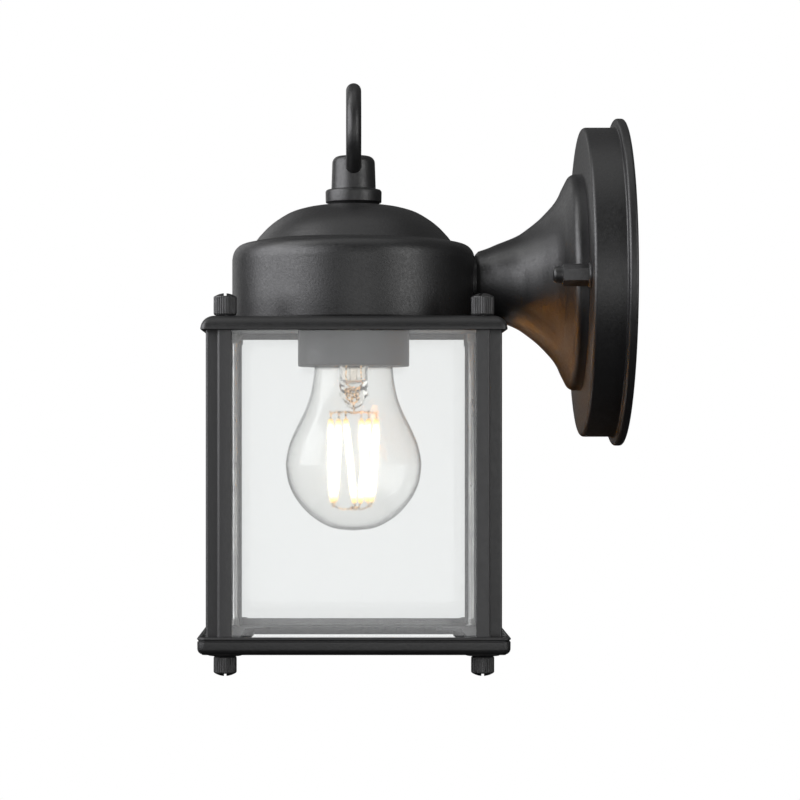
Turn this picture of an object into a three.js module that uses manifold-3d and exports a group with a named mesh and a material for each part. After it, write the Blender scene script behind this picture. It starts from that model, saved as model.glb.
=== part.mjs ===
// Outdoor wall lantern: a round wall canopy, a spun trumpet arm, a domed roof cap with a
// hanging ring, and a square cage of four folded corner posts and four bevelled glass
// panels round one screw-in lamp. The cage is clamped between its top plate and its bottom
// frame by four threaded corner rods with knurled cap nuts.
//
// Units are millimetres. The wall is the plane X = 0 with +X going into it, +Z is up, and
// the origin is the centre of the canopy's back. "front" is the -Y side, "back" the +Y
// side, "wall" the side next to the wall and "outer" the side away from it.
import * as THREE from 'three';
import { mergeVertices } from 'three/addons/utils/BufferGeometryUtils.js';
import Module from 'manifold-3d';

const wasm = await Module();
wasm.setup();

// ---------------------------------------------------------------- driving dimensions
const GAP = 0.3; // between pieces that touch
const SHEET = 1.2; // sheet metal of the canopy, arm, cap and posts
const LANTERN_X = -120; // vertical axis of the cage, cap and lamp

const PAN = { radius: 69, front: -18.6, edge: 2.5, rimRadius: 73, rimDepth: 4 };
const STUD = { y: 56, radius: 2.0, hole: 2.3, tip: -30 };
const ACORN = { flange: 5.6, acrossFlats: 8.4, hexEnd: -30.9, domeRadius: 3.7, tip: -35.1 };
const NIPPLE = { radius: 5, bore: 3.8, hole: 5.3, inner: -73, outer: -12 };
const CROSSBAR = { halfLength: 60.5, halfHeight: 11, thickness: 1.6, flange: 4.5 };

const CAP = { radius: 54.3, bottom: -17.2, top: 9.9, holeTop: 34.8 };
const HUB = { collar: 12.5, collarTop: 41.6, body: 9.9, neck: 9.3, top: 56.6, seat: 35.1 };
const RING = { rod: 3.4, radius: 18.5, axisZ: 51.6, topZ: 85.8, hole: 4.1, pinEnd: 2.5 };
const STEM = { radius: 3, bottom: 7.3 };

const PLATE = { half: 65.2, top: -17.5, underside: -21, skirt: -23.7, run: 5.8, wall: 1.8 };
const FRAME = { half: 66.6, top: -154, webTop: -157.2, webBottom: -158.7, bottom: -161.6 };
const WINDOW = { half: 50, chamfer: 11.4 }; // open octagon in the bottom frame
const ROD = { offset: 55, radius: 2, hole: 2.3 };
const KNOB = { radius: 4.95, crown: 1.6, slot: 1.2, slotDepth: 1.3, skin: 3.2 };
const BOSS = { radius: 8.4, foot: 7.2, depth: 0.8 }; // round boss under each corner rod
const POST = { inner: 52, outer: 63.2, fold: 57.9 };
const GLASS = { inside: 58.5, edge: 61.4, outside: 61.5, half: 56.3, bevel: 13.2 };

const CUP = { radius: 24.9, flange: 30, bottom: -37.6, mouth: 19.5 };
const SOCKET = { bore: 14.5, shell: 14.1, body: 17, top: 7, boreTop: 4 };
const LAMP = { neck: -28, tip: -111, baseRadius: 13, baseTop: -3, wall: 0.8 };
const FILAMENT = { radius: 1, top: -60, bottom: -98.5, topRing: 10.2, bottomRing: 9.6, pairs: 3 };
const FIRST_FILAMENT = 10; // degrees round the lamp from +X to the first filament's top

const FINE = 36; // facets round a large turned piece
const MEDIUM = 18;
const SMALL = 12;

// ---------------------------------------------------------------- materials
function finish(color, roughness, metalness, opacity = 1) {
  return new THREE.MeshStandardMaterial({
    color, roughness, metalness, opacity, transparent: opacity < 1,
  });
}

const blackPaint = finish(0x2b2c2e, 0.55, 0.3);
const steel = finish(0x9a9a96, 0.35, 0.9);
const brass = finish(0xb59a55, 0.35, 0.9);
const porcelain = finish(0xe9e6dd, 0.35, 0);
const blackGlass = finish(0x15131a, 0.2, 0);
const clearGlass = finish(0xf2f5f4, 0.03, 0, 0.2);
const foam = finish(0x3a3a3a, 0.95, 0);
const blackWire = finish(0x1b1b1c, 0.5, 0);
const whiteWire = finish(0xe8e6e0, 0.5, 0);
const bareCopper = finish(0xb87333, 0.35, 0.9);
const greenSteel = finish(0x2e7d4a, 0.4, 0.6);
const orangePlastic = finish(0xd9622b, 0.45, 0);
const phosphor = finish(0xffe08a, 0.5, 0);

// ---------------------------------------------------------------- helpers
const lantern = new THREE.Group();

function add(name, geometry, material, x = 0, y = 0, z = 0) {
  const mesh = new THREE.Mesh(geometry, material);
  mesh.name = name;
  mesh.position.set(x, y, z);
  lantern.add(mesh);
  return mesh;
}

// Points given as [radius, height] pairs, turned into vectors.
function vectors(pairs) {
  return pairs.map(([r, h]) => new THREE.Vector2(r, h));
}

// Twice the signed area of a closed outline: positive when it runs counter-clockwise.
function signedArea(points) {
  return points.reduce((sum, p, i) => sum + p.cross(points[(i + 1) % points.length]), 0);
}

// A turned piece about Z, from an outline that begins and ends on the axis, or closes.
function turned(outline, facets = MEDIUM) {
  const points = outline.slice();
  if (signedArea(points) < 0) points.reverse();
  const first = points[0];
  const last = points[points.length - 1];
  if (first.x > 0 || last.x > 0) points.push(first.clone());
  return new THREE.LatheGeometry(points, facets).rotateX(Math.PI / 2);
}

// The same about X: outline heights become X positions.
function turnedX(outline, facets = MEDIUM) {
  return turned(outline, facets).rotateY(Math.PI / 2);
}

// Points of a circular arc, ends included, angles in degrees.
function arc(cx, cy, radius, from, to, steps = 4) {
  const points = [];
  for (let i = 0; i <= steps; i += 1) {
    const a = THREE.MathUtils.degToRad(from + ((to - from) * i) / steps);
    points.push(new THREE.Vector2(cx + radius * Math.cos(a), cy + radius * Math.sin(a)));
  }
  return points;
}

// An open outline moved sideways by a distance, to the left of its direction.
function offset(points, distance) {
  return points.map((p, i) => {
    const before = points[Math.max(i - 1, 0)];
    const after = points[Math.min(i + 1, points.length - 1)];
    const along = after.clone().sub(before).normalize();
    return new THREE.Vector2(p.x - along.y * distance, p.y + along.x * distance);
  });
}

function tube(radius, bore, from, to, facets = SMALL) {
  return turned(vectors([[bore, from], [radius, from], [radius, to], [bore, to]]), facets);
}

function rod(radius, from, to, facets = SMALL) {
  return turned(vectors([[0, from], [radius, from], [radius, to], [0, to]]), facets);
}

function prism(shape, from, to) {
  const geometry = new THREE.ExtrudeGeometry(shape, {
    depth: to - from, bevelEnabled: false, curveSegments: 6,
  });
  return geometry.translate(0, 0, from);
}

function polygon(pairs) {
  return new THREE.Shape(vectors(pairs));
}

function block(x0, x1, y0, y1, z0, z1) {
  const geometry = new THREE.BoxGeometry(x1 - x0, y1 - y0, z1 - z0);
  return geometry.translate((x0 + x1) / 2, (y0 + y1) / 2, (z0 + z1) / 2);
}

function hexagon(acrossFlats, from, to) {
  const geometry = new THREE.CylinderGeometry(
    acrossFlats / Math.sqrt(3), acrossFlats / Math.sqrt(3), to - from, 6,
  );
  return geometry.rotateX(Math.PI / 2).translate(0, 0, (from + to) / 2);
}

// Corner points of a square with rounded corners, counter-clockwise.
function roundedSquare(half, radius, steps = 3) {
  const c = half - radius;
  const corners = [[c, c, 0], [-c, c, 90], [-c, -c, 180], [c, -c, 270]];
  return corners.flatMap(([x, y, from]) => arc(x, y, radius, from, from + 90, steps));
}

// A closed body through square sections stacked from the bottom up: [z, half, radius].
function stack(sections) {
  const rings = sections.map(([z, half, radius]) =>
    roundedSquare(half, radius).map((p) => new THREE.Vector3(p.x, p.y, z)));
  const count = rings[0].length;
  const positions = rings.flat().flatMap((p) => [p.x, p.y, p.z]);
  const index = [];
  for (let level = 0; level < rings.length - 1; level += 1) {
    for (let i = 0; i < count; i += 1) {
      const a = level * count + i;
      const b = level * count + ((i + 1) % count);
      index.push(a, b, b + count, a, b + count, a + count);
    }
  }
  const lid = (rings.length - 1) * count;
  for (let i = 1; i < count - 1; i += 1) {
    index.push(0, i + 1, i);
    index.push(lid, lid + i, lid + i + 1);
  }
  const geometry = new THREE.BufferGeometry();
  geometry.setAttribute('position', new THREE.Float32BufferAttribute(positions, 3));
  geometry.setIndex(index);
  return geometry;
}

// Solids for cutting and joining.
function solid(geometry) {
  const bare = geometry.clone();
  bare.deleteAttribute('normal');
  bare.deleteAttribute('uv');
  const merged = mergeVertices(bare, 1e-4);
  const index = Array.from(merged.index.array);
  const kept = [];
  for (let i = 0; i < index.length; i += 3) {
    const [a, b, c] = index.slice(i, i + 3);
    if (a !== b && b !== c && c !== a) kept.push(a, b, c);
  }
  return new wasm.Manifold(new wasm.Mesh({
    numProp: 3,
    vertProperties: Float32Array.from(merged.attributes.position.array),
    triVerts: Uint32Array.from(kept),
  }));
}

function surface(body) {
  const mesh = body.getMesh();
  const geometry = new THREE.BufferGeometry();
  geometry.setAttribute('position', new THREE.BufferAttribute(mesh.vertProperties, 3));
  geometry.setIndex(new THREE.BufferAttribute(mesh.triVerts, 1));
  return geometry.toNonIndexed();
}

function cut(geometry, ...tools) {
  return surface(tools.reduce((body, tool) => body.subtract(solid(tool)), solid(geometry)));
}

function join(...geometries) {
  return surface(geometries.map(solid).reduce((body, next) => body.add(next)));
}

function alongX(geometry) {
  return geometry.rotateY(Math.PI / 2);
}

function alongY(geometry) {
  return geometry.rotateX(-Math.PI / 2);
}

// A flat outline drawn in (Y, Z) and given a thickness along X.
function slab(pairs, x0, x1) {
  const axes = [[0, 1, 0], [0, 0, 1], [1, 0, 0]].map((v) => new THREE.Vector3(...v));
  return prism(polygon(pairs), x0, x1).applyMatrix4(new THREE.Matrix4().makeBasis(...axes));
}

// A round wire along a smooth curve through points.
function wire(points, radius, steps, sides = 8) {
  const curve = new THREE.CatmullRomCurve3(points.map((p) => new THREE.Vector3(...p)));
  const section = new THREE.Shape(arc(0, 0, radius, 0, 360 - 360 / sides, sides - 1));
  return new THREE.ExtrudeGeometry(section, { steps, extrudePath: curve });
}

// ---------------------------------------------------------------- wall canopy and arm
const PAN_FRONT = PAN.front - GAP; // what rests on the canopy's front starts here
const PAN_INSIDE = PAN.front + SHEET;

function canopyPan() {
  const { radius, front, edge, rimRadius, rimDepth } = PAN;
  const roll = 1.5;
  const outside = [
    new THREE.Vector2(NIPPLE.hole, front),
    ...arc(radius - edge, front + edge, edge, -90, 0, 3),
    new THREE.Vector2(radius, -rimDepth),
    ...arc(rimRadius - roll, roll - rimDepth, roll, -90, 0, 2),
    new THREE.Vector2(rimRadius, -0.8),
    new THREE.Vector2(rimRadius - 0.8, 0),
  ];
  const inside = [
    new THREE.Vector2(radius - SHEET, 0),
    ...arc(radius - edge, front + edge, edge - SHEET, 0, -90, 2),
    new THREE.Vector2(NIPPLE.hole, PAN_INSIDE),
  ];
  const studHoles = [-STUD.y, STUD.y].map((y) =>
    alongX(rod(STUD.hole, front - 2, front + 4)).translate(0, y, 0));
  return cut(turnedX([...outside, ...inside], FINE), ...studHoles);
}

// The spun arm: a slow taper from the cap that opens like a trumpet onto the canopy.
function trumpetArm() {
  const narrow = 12.4;
  const beyondSeat = LANTERN_X + CAP.radius - 3;
  const flare = new THREE.SplineCurve(vectors([
    [13.9, -64.3], [17.0, -56.2], [20.6, -47.3], [27.8, -37.4], [34.9, -30.7],
    [41.6, -27.0], [45.0, -25.3],
  ]));
  const wideEnd = vectors([
    [47.3, -23.4], [48.3, -20.9], [48.3, PAN_FRONT], [45.1, PAN_FRONT], [45.1, -20.5],
  ]);
  const inside = offset(flare.getPoints(6), SHEET).reverse();
  const outline = [
    new THREE.Vector2(narrow, beyondSeat), new THREE.Vector2(narrow, -65.6),
    ...flare.getPoints(9), ...wideEnd, ...inside,
    new THREE.Vector2(narrow - SHEET, -65.4), new THREE.Vector2(narrow - SHEET, beyondSeat),
  ];
  const seat = rod(CAP.radius + GAP, -30, 30, FINE).translate(LANTERN_X, 0, 0);
  return cut(turnedX(outline, FINE), seat);
}

function acornNut() {
  const { flange, acrossFlats, hexEnd, domeRadius, tip } = ACORN;
  const round = domeRadius - 1.4;
  const dome = turnedX([
    new THREE.Vector2(0, hexEnd + 1), new THREE.Vector2(domeRadius, hexEnd + 1),
    ...arc(domeRadius - round, tip + round, round, 0, -90), new THREE.Vector2(0, tip),
  ], SMALL);
  return cut(
    join(
      alongX(rod(flange, PAN_FRONT - 1.2, PAN_FRONT, MEDIUM)),
      alongX(hexagon(acrossFlats, hexEnd, PAN_FRONT - 0.6)),
      dome,
    ),
    alongX(rod(STUD.hole, STUD.tip - 0.6, PAN_FRONT + 1)),
  );
}

// A threaded stud with its nut against the crossbar.
function canopyStud() {
  const seat = -CROSSBAR.thickness - GAP;
  return turnedX(vectors([
    [0, STUD.tip], [STUD.radius, STUD.tip], [STUD.radius, seat - 3], [3.8, seat - 3],
    [3.8, seat], [STUD.radius, seat], [STUD.radius, -0.1], [0, -0.1],
  ]), SMALL);
}

const GROUND_Y = -18; // the green screw on the crossbar

// The strap that screws to the wall box: a shallow channel with a slot for each box screw.
function crossbar() {
  const { halfLength, halfHeight, thickness, flange } = CROSSBAR;
  const web = block(-thickness, 0, -halfLength, halfLength, -halfHeight, halfHeight);
  const lip = block(-flange, 0, -halfLength, halfLength, halfHeight - thickness, halfHeight);
  const lowerLip = lip.clone().translate(0, 0, thickness - 2 * halfHeight);
  const holes = [-1, 1].flatMap((side) => [
    block(-6, 1, side * 37 - 7, side * 37 + 7, -2.4, 2.4),
    alongX(rod(STUD.hole, -6, 1)).translate(0, side * STUD.y, 0),
  ]);
  const groundHole = alongX(rod(STUD.hole, -6, 1)).translate(0, GROUND_Y, 0);
  return cut(join(web, lip, lowerLip), ...holes, groundHole);
}

function groundScrew() {
  const seat = -CROSSBAR.thickness - GAP;
  return turnedX(vectors([
    [0, seat - 2.7], [2.6, seat - 2.7], [3.8, seat - 1.8], [3.8, seat], [2, seat], [2, -0.1], [0, -0.1],
  ]), SMALL);
}

add('canopy_pan', canopyPan(), blackPaint);
add('trumpet_arm', trumpetArm(), blackPaint);
add('crossbar', crossbar(), steel);
add('ground_screw', groundScrew(), greenSteel, 0, GROUND_Y, 0);
add('wall_gasket', alongX(tube(PAN.radius - SHEET - GAP, 62.6, -3, 0, FINE)), foam);
for (const [side, y] of [['front', -STUD.y], ['back', STUD.y]]) {
  add(`acorn_nut_${side}`, acornNut(), blackPaint, 0, y, 0);
  add(`canopy_stud_${side}`, canopyStud(), steel, 0, y, 0);
}

// The hollow threaded tie that clamps cap, arm and canopy together and carries the leads.
const CAP_WALL = LANTERN_X + CAP.radius - SHEET; // inside of the cap on the arm's side

function tieNut(from, to) {
  return alongX(cut(hexagon(14, from, to), rod(NIPPLE.hole, from - 1, to + 1, MEDIUM)));
}

add('tie_nipple', alongX(tube(NIPPLE.radius, NIPPLE.bore, NIPPLE.inner, NIPPLE.outer, MEDIUM)), steel);
add('tie_nut_cap', tieNut(CAP_WALL - 4.4, CAP_WALL - 1), brass);
add('tie_nut_canopy', tieNut(PAN_INSIDE + GAP, PAN_INSIDE + GAP + 3.4), brass);

// ---------------------------------------------------------------- leads and wire nuts
// Each lead has a third of the tie's bore: [y, z] in the bore at this angle round its axis.
function lane(degrees) {
  const a = THREE.MathUtils.degToRad(degrees);
  return [2.2 * Math.cos(a), 2.2 * Math.sin(a)];
}

function lead(degrees, start, tail) {
  const straight = [-75, -63, -51, -39, -27, -15].map((x) => [x, ...lane(degrees)]);
  return wire([...start, ...straight, ...tail], 1, 32, 6);
}

const WIRE_NUT = { x: -9.5, y: 17, bottom: 20, length: 20 };

// Hot and neutral leave the top of the socket and end in the two wire nuts.
function supplyLead(side) {
  const start = [[-109, 4, 7.4], [-108.8, 4, 11], [-104, 4, 14.4], [-94, 3.4, 10.5], [-84, 2.4, 4]];
  const tail = [[-10.4, 2.3, 1.6], [-8.2, 4.4, 4.6], [-8.4, 9.5, 11.4],
    [WIRE_NUT.x, WIRE_NUT.y - 0.6, 16.6], [WIRE_NUT.x, WIRE_NUT.y, WIRE_NUT.bottom - GAP]];
  const mirror = (points) => points.map(([x, y, z]) => [x, side * y, z]);
  return lead(side > 0 ? 30 : 150, mirror(start), mirror(tail));
}

function groundLead() {
  const start = [[-112.4, 20, 12.7], [-106, 19.4, 12.4], [-97, 14, 8.6], [-87, 6, 1.4], [-81, 1.6, -1.6]];
  const tail = [[-10.6, -0.6, -2.8], [-7.6, -4.4, -3.6], [-5.6, -9.4, -2], [-4.4, -13.4, 0]];
  return lead(270, start, tail);
}

function wireNut() {
  const { length } = WIRE_NUT;
  return turned(vectors([
    [0, 3], [3.2, 3], [3.2, 0], [5.2, 0], [5.4, 5], [4.4, length - 5], [3.4, length - 1], [0, length],
  ]), SMALL);
}

add('lead_hot', supplyLead(1), blackWire);
add('lead_neutral', supplyLead(-1), whiteWire);
add('lead_ground', groundLead(), bareCopper);
add('wire_nut_hot', wireNut(), orangePlastic, WIRE_NUT.x, WIRE_NUT.y, WIRE_NUT.bottom);
add('wire_nut_neutral', wireNut(), orangePlastic, WIRE_NUT.x, -WIRE_NUT.y, WIRE_NUT.bottom);

// ---------------------------------------------------------------- roof cap and finial
function roofCap() {
  const { radius, bottom, top, holeTop } = CAP;
  const hole = STEM.radius + GAP;
  const crease = [44.1, 18.1]; // where the shoulder meets the dome
  const shoulder = vectors([[radius, bottom], [radius, top], [53.6, 13.2], [51.9, 15.4], [49.3, 17.0]]);
  const dome = new THREE.SplineCurve(vectors([
    crease, [38.5, 24.2], [28.2, 31.2], [20, 33.6], [15.7, 34.4], [11.9, holeTop],
  ]));
  const outside = [...shoulder, ...dome.getPoints(8)];
  const inside = offset([...shoulder, ...dome.getPoints(5)], SHEET).reverse();
  const outline = [
    ...outside, new THREE.Vector2(hole, holeTop), new THREE.Vector2(hole, holeTop - SHEET), ...inside,
  ];
  inside[inside.length - 1].y = bottom;
  const tieHole = alongX(rod(NIPPLE.hole, 40, 60, MEDIUM));
  return cut(turned(outline, FINE), tieHole);
}

// The turned hub with the cross hole for the ring, and its threaded stem down to the strap.
function finialHub() {
  const { collar, collarTop, body, neck, top, seat } = HUB;
  const hub = turned(vectors([
    [0, STEM.bottom], [STEM.radius, STEM.bottom], [STEM.radius, seat], [collar - 0.9, seat],
    [collar, seat + 1.4], [collar, collarTop - 0.5], [collar - 0.5, collarTop], [body, collarTop],
    [neck, top - 2.9], [neck - 0.8, top - 1.1], [neck - 2.7, top - 0.1], [0, top],
  ]), MEDIUM);
  return cut(hub, alongY(rod(RING.hole, -20, 20, MEDIUM)).translate(0, 0, RING.axisZ));
}

// A round rod bent into a ring, its two ends turned in to pivot in the hub.
function hangingRing() {
  const { rod: radius, radius: bend, axisZ, topZ, pinEnd } = RING;
  const points = [[0, pinEnd, axisZ], [0, 6, axisZ], [0, 9.4, axisZ]];
  for (let degrees = -40; degrees <= 220; degrees += 20) {
    const a = THREE.MathUtils.degToRad(degrees);
    points.push([0, bend * Math.cos(a), topZ - bend + bend * Math.sin(a)]);
  }
  points.push([0, -9.4, axisZ], [0, -6, axisZ], [0, -pinEnd, axisZ]);
  return wire(points, radius, 38, 10);
}

// The bent strap that the stem pulls up, so that its feet clamp the plate to the cap.
const STRAP = { top: 13.5, half: 7, leg: 32, foot: 41, sheet: 1.5 };

function socketStrap() {
  const { top, half, leg, foot, sheet } = STRAP;
  const under = PLATE.underside - GAP;
  const right = [[foot, under - sheet], [foot, under], [leg + sheet, under], [leg + sheet, top]];
  const inner = [[leg, top - sheet], [leg, under - sheet]];
  const mirror = (pairs) => pairs.map(([y, z]) => [-y, z]).reverse();
  const strap = slab([...right, ...mirror(right), ...mirror(inner), ...inner], -half, half);
  return cut(strap, rod(STEM.radius + GAP, 0, 20));
}

function finialLockNut() {
  const high = STRAP.top - STRAP.sheet - GAP;
  return cut(hexagon(11, high - 3.2, high), rod(STEM.radius + GAP, 0, 20));
}

add('roof_cap', roofCap(), blackPaint, LANTERN_X);
add('finial_hub', finialHub(), blackPaint, LANTERN_X);
add('hanging_ring', hangingRing(), blackPaint, LANTERN_X);
add('socket_strap', socketStrap(), steel, LANTERN_X);
add('finial_lock_nut', finialLockNut(), brass, LANTERN_X);

// ---------------------------------------------------------------- cage
function cornerHoles(low, high) {
  return [[1, 1], [-1, 1], [-1, -1], [1, -1]].map(([x, y]) =>
    rod(ROD.hole, low, high).translate(x * ROD.offset, y * ROD.offset, 0));
}

// Square lid of the cage: rounded upper edge, turned-down skirt, hole for the socket cup.
function topPlate() {
  const { half, top, underside, skirt, run, wall } = PLATE;
  const edge = arc(half - run, top - run, run, 0, 90).map((p) => [p.y, p.x, 2]);
  const outside = stack([[skirt, half, 2], ...edge]);
  const recess = stack([[skirt - 1, half - wall, 1.5], [underside, half - wall, 1.5]]);
  const { leg, sheet, half: strapHalf } = STRAP;
  const slots = [-1, 1].map((side) => {
    const middle = side * (leg + sheet / 2);
    const reach = sheet / 2 + GAP;
    return block(-strapHalf - GAP, strapHalf + GAP, middle - reach, middle + reach, -30, 0);
  });
  const cupHole = rod(CUP.radius + GAP, -30, 0, FINE);
  return cut(outside, recess, cupHole, ...slots, ...cornerHoles(-30, 0));
}

// Square foot of the cage: a shallow tray open in the middle, with a boss under each rod.
function bottomFrame() {
  const { half, top, webTop, webBottom, bottom } = FRAME;
  const inner = half - 1.5;
  const outside = stack([
    [bottom, half - 1.2, 2.6], [bottom + 0.9, half - 0.3, 3], [top - 2, half - 0.2, 3],
    [top - 1.6, half - 0.7, 3], [top - 1.2, half, 3], [top, half, 3],
  ]);
  const tray = stack([[webTop, inner, 2], [top + 1, inner, 2]]);
  const hollow = stack([[bottom - 1, inner - 0.6, 2], [webBottom, inner - 0.6, 2]]);
  const boss = turned(vectors([
    [0, bottom - BOSS.depth], [BOSS.foot, bottom - BOSS.depth], [BOSS.radius, bottom],
    [BOSS.radius, webBottom + 0.5], [0, webBottom + 0.5],
  ]), MEDIUM);
  const bosses = [[1, 1], [-1, 1], [-1, -1], [1, -1]].map(([x, y]) =>
    boss.clone().translate(x * ROD.offset, y * ROD.offset, 0));
  const { half: open, chamfer } = WINDOW;
  const edge = open - chamfer;
  const window = prism(polygon([
    [open, edge], [edge, open], [-edge, open], [-open, edge],
    [-open, -edge], [-edge, -open], [edge, -open], [open, -edge],
  ]), bottom - 2, top);
  const shell = cut(outside, tray, hollow);
  return cut(join(shell, ...bosses), window, ...cornerHoles(bottom - 5, top));
}

// A corner post folded from sheet: two outer flanges, and a fold between them that leaves
// a channel each side for the edge of a glass panel.
function cornerPost() {
  const { inner, outer, fold } = POST;
  const outline = [
    [inner, outer], [inner, outer - SHEET], [fold - SHEET, outer - SHEET], [fold - SHEET, fold - SHEET],
    [outer - SHEET, fold - SHEET], [outer - SHEET, inner], [outer, inner], [outer, fold],
    [fold, fold], [fold, outer],
  ];
  return prism(polygon(outline), FRAME.webTop + GAP, PLATE.underside - GAP);
}

// A knurled cap nut with a slotted, domed end, standing on its open end at z = 0.
function capNut(height) {
  const { radius, crown, slot, slotDepth, skin } = KNOB;
  const curve = (radius ** 2 + crown ** 2) / (2 * crown);
  const from = THREE.MathUtils.radToDeg(Math.acos(radius / curve));
  const body = turned([
    new THREE.Vector2(0, 0), new THREE.Vector2(radius - 0.4, 0), new THREE.Vector2(radius, 0.4),
    ...arc(0, height - curve, curve, from, 90, 3).slice(0, -1), new THREE.Vector2(0, height),
  ], MEDIUM);
  return cut(
    body,
    rod(ROD.hole, -1, height - skin),
    block(-radius - 1, radius + 1, -slot / 2, slot / 2, height - slotDepth, height + 1),
  );
}

// One pane, drawn for the +X side: flat inside, with a wide bevel round its outside face.
function glassPanel() {
  const { inside, edge, outside, half, bevel } = GLASS;
  const low = FRAME.webTop + GAP;
  const high = PLATE.underside - GAP;
  const ring = (x, inset) => [
    [x, inset - half, low + inset], [x, half - inset, low + inset],
    [x, half - inset, high - inset], [x, inset - half, high - inset],
  ];
  const positions = [...ring(inside, 0), ...ring(edge, 0), ...ring(outside, bevel)].flat();
  const index = [0, 2, 1, 0, 3, 2, 8, 9, 10, 8, 10, 11];
  for (const level of [0, 4]) {
    for (let i = 0; i < 4; i += 1) {
      const a = level + i;
      const b = level + ((i + 1) % 4);
      index.push(a, b, b + 4, a, b + 4, a + 4);
    }
  }
  const geometry = new THREE.BufferGeometry();
  geometry.setAttribute('position', new THREE.Float32BufferAttribute(positions, 3));
  geometry.setIndex(index);
  return geometry;
}

add('top_plate', topPlate(), blackPaint, LANTERN_X);
add('bottom_frame', bottomFrame(), blackPaint, LANTERN_X);

const TOP_NUT = { seat: PLATE.top + GAP, height: 9.5 };
const BOTTOM_NUT = { seat: FRAME.bottom - BOSS.depth - GAP, height: 8.6 };

// A rod ends just short of the blind end of the nut on it.
function cornerRod() {
  const reach = KNOB.skin + GAP;
  const low = BOTTOM_NUT.seat - BOTTOM_NUT.height + reach;
  return rod(ROD.radius, low, TOP_NUT.seat + TOP_NUT.height - reach, SMALL);
}

const corners = ['back_wall', 'back_outer', 'front_outer', 'front_wall'];
corners.forEach((corner, i) => {
  const turn = (i * Math.PI) / 2;
  const a = turn + Math.PI / 4;
  const x = LANTERN_X + ROD.offset * Math.SQRT2 * Math.cos(a);
  const y = ROD.offset * Math.SQRT2 * Math.sin(a);
  add(`corner_post_${corner}`, cornerPost(), blackPaint, LANTERN_X).rotation.z = turn;
  add(`corner_rod_${corner}`, cornerRod(), steel, x, y, 0);
  add(`top_nut_${corner}`, capNut(TOP_NUT.height), blackPaint, x, y, TOP_NUT.seat);
  const lower = add(`bottom_nut_${corner}`, capNut(BOTTOM_NUT.height), blackPaint, x, y, BOTTOM_NUT.seat);
  lower.rotation.x = Math.PI;
});

['wall', 'back', 'outer', 'front'].forEach((side, i) => {
  add(`glass_${side}`, glassPanel(), clearGlass, LANTERN_X).rotation.z = (i * Math.PI) / 2;
});

// ---------------------------------------------------------------- socket
function socketCup() {
  const { radius, flange, bottom, mouth } = CUP;
  const seat = PLATE.top + GAP;
  return turned(vectors([
    [flange, seat], [flange, seat + SHEET], [radius - SHEET, seat + SHEET],
    [radius - SHEET, bottom + SHEET], [mouth, bottom + SHEET], [mouth, bottom],
    [radius, bottom], [radius, seat],
  ]), FINE);
}

function socketInsulator() {
  const { bore, body, top, boreTop } = SOCKET;
  const low = CUP.bottom + SHEET + GAP;
  const wide = CUP.radius - SHEET - GAP;
  return turned(vectors([
    [0, top], [body, top], [body, -24], [wide, -26], [wide, low], [CUP.mouth - 0.6, low],
    [bore, low + 8], [bore, boreTop], [0, boreTop],
  ]), MEDIUM);
}

add('socket_cup', socketCup(), blackPaint, LANTERN_X);
add('socket_insulator', socketInsulator(), porcelain, LANTERN_X);
add(
  'socket_shell', tube(SOCKET.shell, SOCKET.shell - 0.5, LAMP.neck + 0.6, 0.5, MEDIUM), brass, LANTERN_X,
);
add('socket_contact', rod(5, SOCKET.boreTop - 1, SOCKET.boreTop - GAP, SMALL), brass, LANTERN_X);

// ---------------------------------------------------------------- lamp
function lampGlass() {
  const { neck, tip, wall } = LAMP;
  const outside = new THREE.SplineCurve(vectors([
    [13.5, neck], [17.4, -38.1], [18.1, -43.9], [19.5, -51.1], [22.2, -58.2], [25.8, -65.4],
    [28.8, -72.6], [30.2, -81.5], [28.9, -90.5], [25.0, -97.9], [18.3, -104.9], [10.6, -109.1], [0, tip],
  ]));
  const inside = offset(outside.getPoints(9), -wall);
  inside[inside.length - 1].x = 0;
  inside[0].y = neck;
  return turned([...outside.getPoints(13).reverse(), ...inside], MEDIUM);
}

// Screw base, its thread drawn as parallel ridges.
function lampBase() {
  const { neck, baseRadius, baseTop } = LAMP;
  const pitch = 3.6;
  const outside = [[0, baseTop], [9, baseTop], [baseRadius - 0.8, baseTop - 3]];
  for (let z = baseTop - 4.8; z > neck + 5; z -= pitch) {
    outside.push([baseRadius, z], [baseRadius - 0.8, z - pitch / 2]);
  }
  const low = neck + GAP;
  const inside = [
    [baseRadius, low], [11.4, low], [11.4, baseTop - 4], [8.4, baseTop - SHEET], [0, baseTop - SHEET],
  ];
  return turned(vectors([...outside, ...inside]), MEDIUM);
}

function lampStem() {
  return turned(vectors([
    [0, -29.5], [11.6, -29.5], [11.2, -31.5], [7.4, -35.5], [6.3, -40], [6.2, -47],
    [5.2, -51.5], [3.2, -55], [0, -56.5],
  ]), SMALL);
}

// The spider of support wires that hangs the filaments from the stem.
function lampWires() {
  const reach = FILAMENT.topRing + 0.8;
  const level = FILAMENT.top + 1.4;
  const bar = block(-reach, reach, -0.4, 0.4, level - 0.4, level + 0.4);
  const bars = [0, 60, 120].map((turn) =>
    bar.clone().rotateZ(THREE.MathUtils.degToRad(FIRST_FILAMENT + turn)));
  return join(...bars, rod(0.8, level, -56.8, 8));
}

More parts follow.
